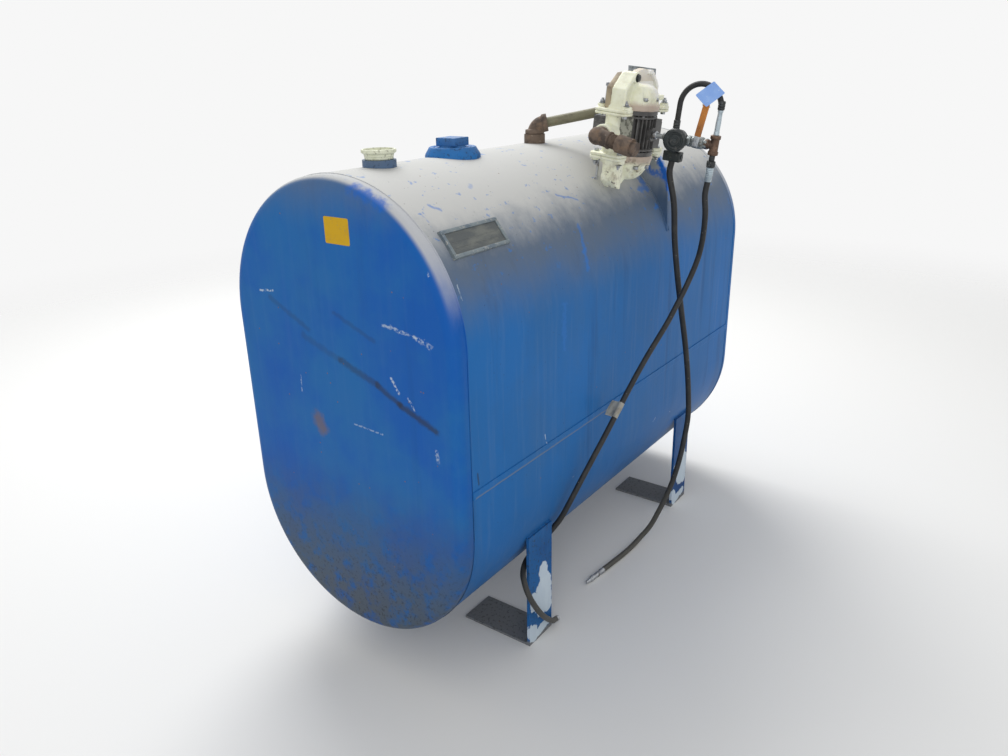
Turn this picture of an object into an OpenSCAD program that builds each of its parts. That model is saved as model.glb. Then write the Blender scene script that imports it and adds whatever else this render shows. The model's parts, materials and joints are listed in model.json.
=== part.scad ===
// Bulk oil tank on four strap legs, with an air-driven diaphragm pump hung on its shoulder.
// Lengths are millimetres. X runs along the tank, Z is up, and the pump side is -Y.
// The origin is on the ground, under the middle of everything but the two free hoses.

/* [Tank] */
// Width of the obround body
tank_w = 686; // [676:1:740]
// Height of the obround body
tank_h = 1118; // [1080:1:1180]
// Length over both heads
tank_l = 1524; // [1480:1:1800]
// Steel thickness of shell and heads
wall = 2.7; // [2:0.1:4]
// Radius of the turned edge of a head
knuckle = 25; // [15:1:40]
// Straight flange behind the turned edge
flange = 14; // [8:1:30]
// Height of the lap seam above the underside
seam_h = 445; // [380:1:520]
// Width of the lap
lap_w = 18; // [10:1:30]
// Step of the lap
lap_t = 2; // [1:0.1:3]

/* [Legs] */
// Height of the underside above the ground
ground_gap = 110; // [80:1:160]
// Distance between the leg centres along the tank
leg_pitch = 870; // [700:1:1100]
// Distance of a leg's outer face inside the tank's side
leg_inset = 15; // [9:1:21]
// Width of a leg strap
leg_w = 106; // [60:1:140]
// Thickness of a leg strap
leg_t = 8; // [5:0.5:12]
// Length of a foot plate
foot_l = 215; // [120:1:260]
// Thickness of a foot plate
foot_t = 7; // [4:0.5:12]

/* [Top fittings] */
// Distance of the filler from the near end
fill_in = 179; // [120:1:240]
// Outer diameter of the filler coupling
fill_d = 76; // [60:1:90]
// Height of the filler coupling
fill_h = 15; // [8:1:40]
// Rim diameter of the cap
cap_d = 78; // [70:1:95]
// Height of the cap
cap_h = 23; // [15:1:40]
// Distance of the bung from the near end
bung_in = 437; // [360:1:520]
// Base diameter of the bung collar
bung_d = 138; // [110:1:150]
// Height of the bung collar
bung_h = 21; // [12:1:30]
// Side of the square plug head
plug_side = 58; // [40:1:70]
// Height of the square plug head
plug_h = 20; // [12:1:30]

/* [Nameplate] */
// Distance of the nameplate's middle from the near end
plate_in = 169; // [150:1:240]
// Angle of the nameplate above level
plate_angle = 38; // [30:1:50]
// Length of the nameplate
plate_l = 192; // [120:1:220]
// Width of the nameplate
plate_w = 66; // [40:1:90]
// Thickness of its backing plate
plate_t = 3; // [2:0.1:5]

/* [Suction] */
// Place of the suction fitting along the tank
suction_x = 38; // [0:1:60]
// Diameter of the suction fitting
suction_d = 58; // [50:1:66]
// Outer diameter of the suction pipe
pipe_d = 27; // [21:1:34]

/* [Pump] */
// Place of the pump along the tank
pump_x = 70; // [60:1:100]
// Distance of the pump's centre inside the tank's side
pump_inset = 62; // [56:1:64]
// Height of the pump's centre above the shell under it
pump_over = 184; // [184:1:200]
// Lean of the pump out over the side, in degrees
lean = 7; // [0:0.5:8]
// Radius of a fluid cap's rim
rim_r = 66; // [60:1:68]
// Thickness of a fluid cap's rim
rim_t = 14; // [10:1:16]
// Half height of the air section
air_h = 56; // [52:1:58]
// Radius of the air section's body
air_r = 50; // [44:1:52]
// Height of a dome above its rim
dome_h = 58; // [50:1:60]
// Distance from the pump's axis to a manifold
manifold_off = 104; // [100:1:115]
// Outer radius of a manifold tube
tube_r = 19; // [17:0.5:20]
// Half distance between the manifold joints
joint_h = 54; // [48:1:56]
// Thickness of a joint flange
flange_t = 7; // [5:0.5:10]
// Length of a manifold port from its tube's axis
port_l = 48; // [42:1:54]

/* [Air line] */
// Outer diameter of the valve's body
line_d = 30; // [24:1:34]
// Reach of the regulator from the pump's axis
reg_reach = 133; // [128:1:140]
// Reach of the ball valve's stem from the pump's axis
valve_reach = 194; // [190:1:198]
// Reach of the tee from the pump's axis
tee_reach = 235; // [232:1:245]
// Length of the valve lever
lever_l = 100; // [80:1:110]
// Width of the valve lever
lever_w = 17; // [12:1:22]
// Diameter of the regulator knob
knob_d = 58; // [48:1:62]

/* [Hoses] */
// Outer diameter of the air hose
air_hose_d = 16; // [12:0.5:20]
// Outer diameter of the delivery hose
oil_hose_d = 15; // [12:0.5:20]
// Outer diameter of the jumper hose
jumper_d = 14; // [10:0.5:18]

/* [Hidden] */

$fn = 64;
// Gap left where two curved faces seat on each other
seat = 0.3;
// Overrun of a cut past the face it opens
over = 1;

blue = "#2f66a8";
dusty = "#8f959b";
cream = "#ddd9b8";
iron = "#4a3a31";
black = "#26272a";
steel = "#b9bec2";
brass = "#8a5a32";

tank_r = tank_w / 2;
straight = tank_h - tank_w;
low_c = ground_gap + tank_r;
top_c = low_c + straight;
tank_top = ground_gap + tank_h;
seam_z = ground_gap + seam_h;
shell_half = tank_l / 2 - knuckle - flange;

near_end = -tank_l / 2;
leg_out = tank_r - leg_inset;

pump_y = pump_inset - tank_r;
pump_z = top_c + sqrt(pow(tank_r, 2) - pow(pump_y, 2)) + pump_over;
tee_half = 24;
stem_l = 60;
jumper_in = 6;
jumper_r = (tee_reach - reg_reach + jumper_in) / 2;
arc_y = -tee_reach + jumper_r;
arc_z = tee_half + stem_l;
lever_tilt = 7;
tag_l = 58;
tag_w = 41;
tag_in = 15;
tag_turn = 46;
// Outermost points of the line, on the jumper's arc and on the tag
arc_out = jumper_r + jumper_d / 2 - arc_y * cos(lean) + arc_z * sin(lean);
tag_lean = lean + lever_tilt + tag_turn;
tag_out = valve_reach * cos(lean) + (lever_l + tag_in) * sin(lean + lever_tilt)
    + tag_l / 2 * sin(tag_lean) + tag_w / 2 * cos(tag_lean);
line_out = max(arc_out, tag_out) - pump_y;
mid_y = (line_out - tank_r - lap_t) / 2;

// Turns a profile drawn in (Y, Z) into a solid that runs along +X from x0
module along_x(x0) translate([x0, mid_y, 0]) rotate([90, 0, 90]) children();

// Puts a piece at a place given from the tank's middle plane
module at_tank(x, y, z) translate([x, mid_y + y, z]) children();

// Puts a piece at the pump's centre, in the pump's own leaning axes
module at_pump(x = 0, y = 0, z = 0)
    at_tank(pump_x, pump_y, pump_z) rotate([lean, 0, 0]) translate([x, y, z]) children();

// Where a point in the pump's own axes lies
function from_pump(p) = [
    pump_x + p[0],
    pump_y + p[1] * cos(lean) - p[2] * sin(lean),
    pump_z + p[1] * sin(lean) + p[2] * cos(lean)
];

// Cylinder on the air line, from a reach outwards by len
module on_line(reach, len, d) at_pump(0, -reach, 0) rotate([90, 0, 0]) cylinder(d = d, h = len);

// Space inside the tank's outer face near the top, grown by the seat
module shell_space() along_x(-tank_l / 2) translate([0, top_c, 0]) cylinder(r = tank_r + seat, h = tank_l, $fn = 128);

// Half of a round tube, opening downwards
module half_tube(r, t, len) rotate_extrude(angle = 180, $fn = 128) translate([r - t, 0]) square([t, len]);

// One bent sheet of the shell: a half tube and two straight sides
module sheet(centre_z, side_z0, side_z1, turn) {
    along_x(-shell_half) translate([0, centre_z, 0]) rotate([0, 0, turn])
        half_tube(tank_r, wall, 2 * shell_half);
    for (s = [-1, 1])
        at_tank(-shell_half, s > 0 ? tank_r - wall : -tank_r, side_z0)
            cube([2 * shell_half, wall, side_z1 - side_z0]);
}

module shell_upper() color(blue) difference() {
    union() {
        sheet(top_c, seam_z, top_c, 0);
        for (s = [-1, 1])
            at_tank(-shell_half, s > 0 ? tank_r - over : -tank_r - lap_t, seam_z)
                cube([2 * shell_half, lap_t + over, lap_w]);
    }
    port_hole(near_end + fill_in, fill_d - 24);
    port_hole(near_end + bung_in, bung_d - 48);
    port_hole(suction_x, suction_d - 24);
}

module port_hole(x, d) at_tank(x, 0, tank_top - d / 2) cylinder(d = d, h = d);

module shell_lower() color(blue) sheet(low_c, low_c, seam_z, 180);

// Outline of half a head: face, turned edge and flange
module head_outline(r, k) {
    square([r - k, flange + k]);
    square([r, flange]);
    intersection() {
        translate([r - k, flange]) circle(k);
        square([r, flange + k]);
    }
}

module head_section() difference() {
    head_outline(tank_r, knuckle);
    translate([-over, -over]) square([tank_r - knuckle + over, flange + knuckle - wall + over]);
    translate([0, -over]) square([tank_r - wall, flange + over]);
    translate([tank_r - knuckle, flange]) circle(knuckle - wall);
}

module head() {
    for (half = [[top_c, 0], [low_c, 180]])
        along_x(shell_half) translate([0, half[0], 0]) rotate([0, 0, half[1]])
            rotate_extrude(angle = 180, $fn = 128) head_section();
    at_tank(shell_half, 0, low_c) linear_extrude(straight) {
        rotate(-90) mirror([1, 0]) head_section();
        rotate(-90) head_section();
    }
}

module far_head() color(blue) head();
module near_head() color(blue) mirror([1, 0, 0]) head();

// Strap leg with its foot plate, under the corner given by two signs
module leg(sx, sy) {
    touch_z = low_c - sqrt(pow(tank_r + seat, 2) - pow(leg_out - leg_t, 2));
    color(blue) at_tank(sx * leg_pitch / 2 - leg_w / 2, 0, 0) {
        translate([0, sy > 0 ? leg_out - leg_t : -leg_out, 0]) cube([leg_w, leg_t, touch_z]);
        translate([0, sy > 0 ? leg_out - foot_l : -leg_out + leg_t, 0]) cube([leg_w, foot_l - leg_t, foot_t]);
    }
}

module near_right_leg() leg(-1, -1);
module near_left_leg() leg(-1, 1);
module far_right_leg() leg(1, -1);
module far_left_leg() leg(1, 1);

module fill_coupling() color(dusty) difference() {
    at_tank(near_end + fill_in, 0, tank_top - 10) cylinder(d = fill_d, h = fill_h + 10);
    at_tank(near_end + fill_in, 0, tank_top - 20) cylinder(d = fill_d - 20, h = fill_h + 30);
    shell_space();
}

module fill_cap() color(cream) at_tank(near_end + fill_in, 0, tank_top + fill_h) {
    cylinder(d = cap_d - 14, h = cap_h - 8);
    translate([0, 0, cap_h - 9]) cylinder(d = cap_d, h = 9);
}

module bung_collar() color(blue) difference() {
    at_tank(near_end + bung_in, 0, tank_top - 12) {
        cylinder(d = bung_d, h = 18);
        translate([0, 0, 18]) cylinder(d1 = bung_d, d2 = bung_d - 26, h = bung_h - 6);
    }
    at_tank(near_end + bung_in, 0, tank_top - 20) cylinder(d = bung_d - 46, h = bung_h + 40);
    shell_space();
}

module bung_plug() color(blue) at_tank(near_end + bung_in, 0, tank_top) {
    translate([0, 0, 6]) cylinder(d = bung_d - 46 - 2 * seat, h = bung_h - 4);
    translate([-plug_side / 2, -plug_side / 2, bung_h + 2]) cube([plug_side, plug_side, plug_h]);
}

// Data plate: a flat backing on two edges that meet the curved shoulder
module nameplate() color(dusty)
    at_tank(near_end + plate_in, 0, top_c) rotate([-plate_angle, 0, 0]) mirror([0, 1, 0])
        difference() {
            translate([-plate_l / 2, tank_r - 6, -plate_w / 2]) cube([plate_l, 6 + plate_t, plate_w]);
            translate([-plate_l, 0, 0]) rotate([0, 90, 0]) cylinder(r = tank_r + seat, h = 2 * plate_l, $fn = 128);
        }

// Suction line, from the tank's top to the pump's inlet port
port_r = 19.5;
port_deep = 18;
suction_h = 24;
corner_h = 24;
band = 12;
elbow_r = suction_d / 2 - 3;
corner = [suction_x, 0, tank_top + suction_h + corner_h];
drop = 44;
drop_r = 20;
drop_out = 34;
elbow_swell = 3;
elbow_half = 21;
socket = 30;
inlet = from_pump([manifold_off, port_l + drop_out, drop]);
run = inlet - corner;
rise = atan2(run[2], norm([run[0], run[1]]));
heading = atan2(run[1], run[0]);
sweep = 90 - rise;
bend_r = corner_h / tan(sweep / 2);

module suction_bushing() color(iron) difference() {
    at_tank(suction_x, 0, tank_top - 10) cylinder(d = suction_d, h = suction_h + 10);
    shell_space();
}

// Local Z runs along the suction pipe, from the elbow's corner
module at_corner() translate([0, mid_y, 0]) translate(corner) rotate([0, 90 - rise, heading]) children();

module suction_elbow() color(iron) {
    at_tank(suction_x, 0, tank_top + suction_h) rotate([90, 0, heading]) translate([bend_r, 0, 0])
        rotate([0, 0, 180 - sweep]) rotate_extrude(angle = sweep) translate([bend_r, 0]) circle(r = elbow_r - 6, $fn = 48);
    at_tank(suction_x, 0, tank_top + suction_h) cylinder(r = elbow_r, h = band);
    at_corner() translate([0, 0, corner_h - 2]) cylinder(r = elbow_r - 2, h = band + 2);
}

module suction_pipe() color(iron) at_corner() translate([0, 0, corner_h + band])
    cylinder(d = pipe_d, h = norm(run) - corner_h - band - socket);

module inlet_drop() color(iron) {
    at_corner() translate([0, 0, norm(run) - socket]) cylinder(r = drop_r, h = socket);
    at_pump(manifold_off, port_l + drop_out, -elbow_half) cylinder(r = drop_r + elbow_swell, h = 2 * elbow_half);
    at_pump(manifold_off, port_l + drop_out, drop - elbow_half) cylinder(r = drop_r + elbow_swell, h = 2 * elbow_half);
    at_pump(manifold_off, port_l + drop_out, 0) {
        cylinder(r = drop_r - 4, h = drop);
        rotate([90, 0, 0]) cylinder(r = drop_r, h = drop_out - seat);
        rotate([90, 0, 0]) cylinder(r = port_r - seat, h = drop_out + port_deep);
    }
}

// Pump bracket: an upright plate beside the pump, cut to the shell and spread at its foot
bracket_t = 8;
flange_x = 27;
bracket_gap = 24;
bracket_x = manifold_off + flange_x + bracket_gap;
bracket_in = 13;
bracket_w = 80;
bracket_top = 160;
top_slope = 10;
back_z = -20;
front_z = -45;
flare = 50;
back_flare_z = -60;
front_flare_z = -125;
front_out = -40;
foot_out = -50;
foot_depth = 300;
module pump_bracket() color(blue) difference() {
    at_tank(pump_x + bracket_x, pump_y, pump_z) rotate([90, 0, 90]) linear_extrude(bracket_t) polygon([
        [bracket_in, bracket_top - top_slope], [bracket_in + bracket_w, bracket_top],
        [bracket_in + bracket_w, back_z], [bracket_in + bracket_w + flare, back_flare_z],
        [bracket_in + bracket_w + flare, -foot_depth],
        [foot_out, -foot_depth], [front_out, front_flare_z], [bracket_in, front_z]
    ]);
    shell_space();
}

// Black centre of the pump: two flanges, a ribbed barrel, a flat for the plate and the air boss
air_flange_t = 10;
rib_r = rim_r - 5;
plate_face = air_r + 5;
module air_section() color(black) at_pump() {
    translate([0, 0, -air_h]) cylinder(r = air_r, h = 2 * air_h);
    for (z = [-air_h, air_h - air_flange_t]) translate([0, 0, z]) cylinder(r = rim_r - 2, h = air_flange_t);
    for (a = [-150 : 12 : 30]) rotate([0, 0, a]) translate([air_r - 4, -1.5, -air_h + 1])
        cube([rib_r - air_r + 4, 3, 2 * air_h - 2]);
    translate([-plate_face, -34, -24]) cube([plate_face, 44, 72]);
    translate([8, -rim_r, -36]) cube([34, 40, 72]);
    rotate([90, 0, 0]) cylinder(r = 17, h = rim_r);
}

module pump_plate() color(steel) at_pump(-plate_face - 2, -32, -20) cube([2, 38, 64]);

// Oblong flange of a manifold joint
flange_y = 47;
module joint_flange(h) intersection() {
    cylinder(r = flange_y, h = h);
    translate([-flange_x, -flange_y, 0]) cube([2 * flange_x, 2 * flange_y, h]);
}

// A fluid cap: rim, ribbed dome, and the flat-sided arms from its pole down to two joints
dome_z = air_h + rim_t;
dome_r = rim_r - 4;
dome_bend = 70;
arm_t = 38;
arm_top = dome_z + dome_h + 11;
arm_cut = 40;
web_t = 8;
boss_r = 18;
boss_z = arm_top - boss_r - 4;
rib_t = 4;
lug_z = joint_h + flange_t + 10;
lug_t = 14;
lug_w = 60;
module dome_outline(r) intersection() {
    translate([dome_r - dome_bend, 0]) circle(r = dome_bend + r - dome_r, $fn = 96);
    square([r, dome_h]);
}
module arm_outline() polygon([
    [0, dome_z + dome_h / 2], [0, arm_top], [manifold_off - arm_cut, arm_top],
    [manifold_off + tube_r, arm_top - arm_cut - tube_r / 2],
    [manifold_off + tube_r, joint_h], [manifold_off - tube_r, joint_h],
    [manifold_off - tube_r, dome_z + dome_h / 2]
]);
module fluid_cap(s) color(cream) at_pump() mirror([0, 0, s > 0 ? 0 : 1]) {
    translate([0, 0, air_h]) cylinder(r = rim_r, h = rim_t);
    translate([0, 0, dome_z]) rotate_extrude() dome_outline(dome_r);
    intersection() {
        translate([0, 0, dome_z]) rotate_extrude() dome_outline(rim_r - 1);
        for (a = [0 : 45 : 135]) rotate([0, 0, a + 22.5])
            translate([-rim_r, -rib_t / 2, air_h]) cube([2 * rim_r, rib_t, dome_h + rim_t]);
    }
    for (side = [0, 1]) mirror([side, 0, 0]) {
        translate([0, arm_t / 2, 0]) rotate([90, 0, 0]) linear_extrude(arm_t) arm_outline();
        translate([dome_r - 14, -web_t / 2, joint_h + flange_t])
            cube([manifold_off - dome_r, web_t, dome_z + dome_h / 2 - joint_h]);
        translate([manifold_off, 0, joint_h]) joint_flange(flange_t);
    }
    translate([0, arm_t / 2 + 3, boss_z]) rotate([90, 0, 0]) cylinder(r = boss_r, h = arm_t + 6);
    translate([manifold_off, 0, lug_z]) cube([bracket_x - manifold_off, lug_w, lug_t]);
}
module upper_chamber() fluid_cap(1);
module lower_chamber() fluid_cap(-1);

valve_w = 60;
valve_d = 46;
module air_valve() color(black) at_pump(-valve_w / 2, air_r + seat, -valve_w / 2) cube([valve_w, valve_d, valve_w]);

// Middle of a manifold with its port, turned to face the given way
module manifold_tee(sx, turn) color(cream) at_pump(sx * manifold_off) {
    translate([0, 0, -joint_h]) cylinder(r = tube_r, h = 2 * joint_h);
    for (z = [joint_h - flange_t, -joint_h]) translate([0, 0, z]) joint_flange(flange_t);
    rotate([0, 0, turn]) rotate([0, 90, 0]) difference() {
        cylinder(r = port_r + 7, h = port_l);
        translate([0, 0, port_l - port_deep]) cylinder(r = port_r, h = port_deep + over);
    }
}
module front_tee() manifold_tee(-1, 180);
module rear_tee() manifold_tee(1, 90);

bolt_y = 36;
bolt_h = 6;
module manifold_bolts() color(steel)
    for (sx = [-1, 1], sy = [-1, 1], z = [joint_h + flange_t, -joint_h - flange_t - bolt_h])
        at_pump(sx * manifold_off, sy * bolt_y, z) cylinder(r = 7, h = bolt_h, $fn = 6);

// Iron elbow out of the front port, and the coupling that ends its run
elbow_out = 24;
out_x = manifold_off + port_l + elbow_out;
out_tilt = 8;
neck_l = 62;
module discharge_elbow() color(iron) at_pump(-out_x) {
    translate([0, 0, -elbow_half]) cylinder(r = 22, h = 2 * elbow_half);
    rotate([0, 90, 0]) cylinder(r = port_r - seat, h = elbow_out + port_deep);
    rotate([0, 90, 0]) cylinder(r = 20, h = elbow_out - seat);
    rotate([90 + out_tilt, 0, 0]) cylinder(r = 17, h = neck_l);
    rotate([90 + out_tilt, 0, 0]) cylinder(r = 20, h = 38);
}
module discharge_coupling() color(iron) at_pump(-out_x) rotate([90 + out_tilt, 0, 0]) translate([0, 0, neck_l]) {
    cylinder(r = 22, h = 38);
    cylinder(r = 17, h = 50);
}

reg_half = 27;
nut_l = 12;
module air_nipple() color(steel) {
    on_line(rim_r, nut_l, 22);
    on_line(rim_r, reg_reach - rim_r - reg_half, 14);
}

module regulator_body() color(black) at_pump(0, -reg_reach) {
    rotate([90, 0, 0]) translate([0, 0, -reg_half]) cylinder(r = 15, h = 2 * reg_half);
    translate([-17, 0, 0]) rotate([0, 90, 0]) cylinder(r = 24, h = 42);
    translate([0, 0, block_h - block_end]) cylinder(r = 8, h = block_end - block_h);
}

knob_l = 26;
module regulator_knob() color(black) at_pump(-17 - seat - knob_l, -reg_reach) rotate([0, 90, 0])
    cylinder(d = knob_d, h = knob_l);

block_l = 47;
block_w = 24;
block_h = 25;
block_end = 56;
module hose_block() color(black)
    at_pump(-block_w / 2, -reg_reach - block_l / 2 + 3, -block_end) cube([block_w, block_l, block_h]);

module valve_body() color(steel) {
    on_line(reg_reach + reg_half, tee_reach - reg_reach - reg_half - 13, line_d - 9);
    on_line(valve_reach - 20, 34, line_d);
    at_pump(0, -valve_reach) rotate([0, -90, 0]) cylinder(r = 6, h = lever_gap - seat);
}

// Lever on the side of the ball valve, standing nearly square to the line
lever_gap = line_d / 2 + 6;
lever_t = 3;
module at_lever() at_pump(0, -valve_reach) rotate([lever_tilt, 0, 0]) children();
module valve_lever() color("#d97a1c") at_lever()
    translate([-lever_gap - lever_t, -lever_w / 2, -9]) cube([lever_t, lever_w, lever_l + 9]);

tag_t = 2;
module lever_tag() color("#7fb2e8") at_lever()
    translate([-lever_gap - lever_t - tag_t - seat, 0, lever_l + tag_in]) rotate([tag_turn, 0, 0])
    translate([0, -tag_w / 2, -tag_l / 2]) cube([tag_t, tag_w, tag_l]);

module brass_tee() color(brass) {
    at_pump(0, -tee_reach, -tee_half) cylinder(r = 13, h = 2 * tee_half);
    on_line(tee_reach - 13, 12, 24);
}

module jumper_stem() color(steel) at_pump(0, -tee_reach, tee_half) cylinder(r = 7, h = stem_l - seat);

module jumper_hose() color(black) at_pump(0, 0, 0) {
    translate([0, arc_y, arc_z]) rotate([90, 0, 90]) rotate_extrude(angle = 180)
        translate([jumper_r, 0]) circle(d = jumper_d, $fn = 32);
    translate([0, -reg_reach + jumper_in, 24 + seat]) cylinder(d = jumper_d, h = arc_z - 24 - seat);
}

swivel_l = 66;
module delivery_swivel() color(steel) at_pump(0, -tee_reach, -tee_half) {
    translate([0, 0, -16]) cylinder(r = 8, h = 16);
    translate([0, 0, -38]) cylinder(r = 12, h = 22, $fn = 6);
    translate([0, 0, -swivel_l]) cylinder(r = 9.5, h = 28);
}

// Routes of the two free hoses, as points on their centre lines
air_path = [
    from_pump([0, 3 - reg_reach, -block_end]), from_pump([0, 3 - reg_reach, -block_end - 35]),
    [76, -413, 1085], [92, -414, 985], [112, -420, 880], [140, -426, 773], [166, -432, 674], [189, -436, 575],
    [204, -438, 486], [209, -438, 434], [204, -436, 386], [192, -432, 323], [181, -426, 270], [170, -416, 215],
    [160, -400, 158], [152, -382, 105], [144, -362, 55], [120, -342, 20], [80, -336, 9], [27, -334, 8.5],
    [-30, -329, 8.5], [-87, -323, 8.5]
];
oil_path = [
    from_pump([0, -tee_reach, -tee_half - swivel_l]), from_pump([0, -tee_reach, -tee_half - swivel_l - 35]),
    [76, -501, 1065], [94, -492, 1005], [110, -478, 951], [110, -464, 904], [92, -449, 850], [64, -439, 808],
    [31, -430, 767], [-51, -412, 688], [-120, -400, 619], [-199, -386, 532], [-260, -377, 472], [-309, -368, 420],
    [-335, -354, 371], [-351, -336, 324], [-371, -315, 285], [-410, -300, 255], [-456, -299, 240],
    [-492, -312, 228], [-513, -332, 210], [-517, -350, 180], [-500, -360, 140], [-474, -360, 104],
    [-437, -352, 66], [-406, -346, 38], [-380, -340, 24]
];

// Sweeps a round cord of diameter d along the points
function unit(v) = v / norm(v);
function dir_at(p, i) = unit(p[min(i + 1, len(p) - 1)] - p[max(i - 1, 0)]);
function side_of(t) = unit(cross(t, abs(t[2]) > 0.9 ? [0, 1, 0] : [0, 0, 1]));
function turned(prev, t) = unit(prev - (prev * t) * t);
function sides(p, i) = i == 0 ? [side_of(dir_at(p, 0))] :
    let (done = sides(p, i - 1)) concat(done, [turned(done[i - 1], dir_at(p, i))]);
function ring(c, t, s, r, n) = [for (k = [0 : n - 1]) c + r * (cos(360 * k / n) * s + sin(360 * k / n) * cross(t, s))];
module cord(p, d, n = 10) {
    s = sides(p, len(p) - 1);
    m = len(p);
    polyhedron(
        points = [for (i = [0 : m - 1]) each ring(p[i], dir_at(p, i), s[i], d / 2, n)],
        faces = concat(
            [[for (k = [0 : n - 1]) n - 1 - k]],
            [for (i = [0 : m - 2], k = [0 : n - 1]) [i * n + k, i * n + (k + 1) % n, (i + 1) * n + (k + 1) % n, (i + 1) * n + k]],
            [[for (k = [0 : n - 1]) (m - 1) * n + k]]
        )
    );
}

module air_hose() color(black) translate([0, mid_y, 0]) cord(air_path, air_hose_d);
// Local Z runs on from point i of a route, along its direction there
module at_point(p, i) translate([0, mid_y, 0]) translate(p[i])
    rotate([0, acos(dir_at(p, i)[2]), atan2(dir_at(p, i)[1], dir_at(p, i)[0])]) children();
module at_end(p) at_point(p, len(p) - 1) translate([0, 0, seat]) children();
coupler_l = 84;
coupler_d = 17;
module air_coupler() color(steel) at_end(air_path) cylinder(d = coupler_d, h = coupler_l);

module delivery_hose() color(black) translate([0, mid_y, 0]) cord(oil_path, oil_hose_d);
module delivery_end() color(steel) at_end(oil_path) cylinder(d = oil_hose_d, h = 22);

// Paper flag folded round the delivery hose, on one straight length of it
flag_a = [-120, -400, 619];
flag_b = [-199, -386, 532];
flag_dir = unit(flag_b - flag_a);
module hose_flag() color("#d8d5cc") translate([0, mid_y, 0]) translate((flag_a + flag_b) / 2)
    rotate([0, acos(flag_dir[2]), atan2(flag_dir[1], flag_dir[0])]) difference() {
        union() {
            translate([0, 0, -22]) cylinder(d = oil_hose_d + 3, h = 44);
            translate([-1, -34, -22]) cube([2, 34, 44]);
        }
        translate([0, 0, -30]) cylinder(d = oil_hose_d + 2 * seat, h = 60);
    }

shell_upper();
shell_lower();
near_head();
far_head();
near_right_leg();
near_left_leg();
far_right_leg();
far_left_leg();
fill_coupling();
fill_cap();
bung_collar();
bung_plug();
nameplate();
suction_bushing();
suction_elbow();
suction_pipe();
inlet_drop();
pump_bracket();
air_section();
pump_plate();
upper_chamber();
lower_chamber();
air_valve();
front_tee();
rear_tee();
manifold_bolts();
discharge_elbow();
discharge_coupling();
air_nipple();
regulator_body();
regulator_knob();
hose_block();
valve_body();
valve_lever();
lever_tag();
brass_tee();
jumper_stem();
jumper_hose();
delivery_swivel();
delivery_hose();
delivery_end();
hose_flag();
air_hose();
air_coupler();
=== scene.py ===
import math
import random

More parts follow.
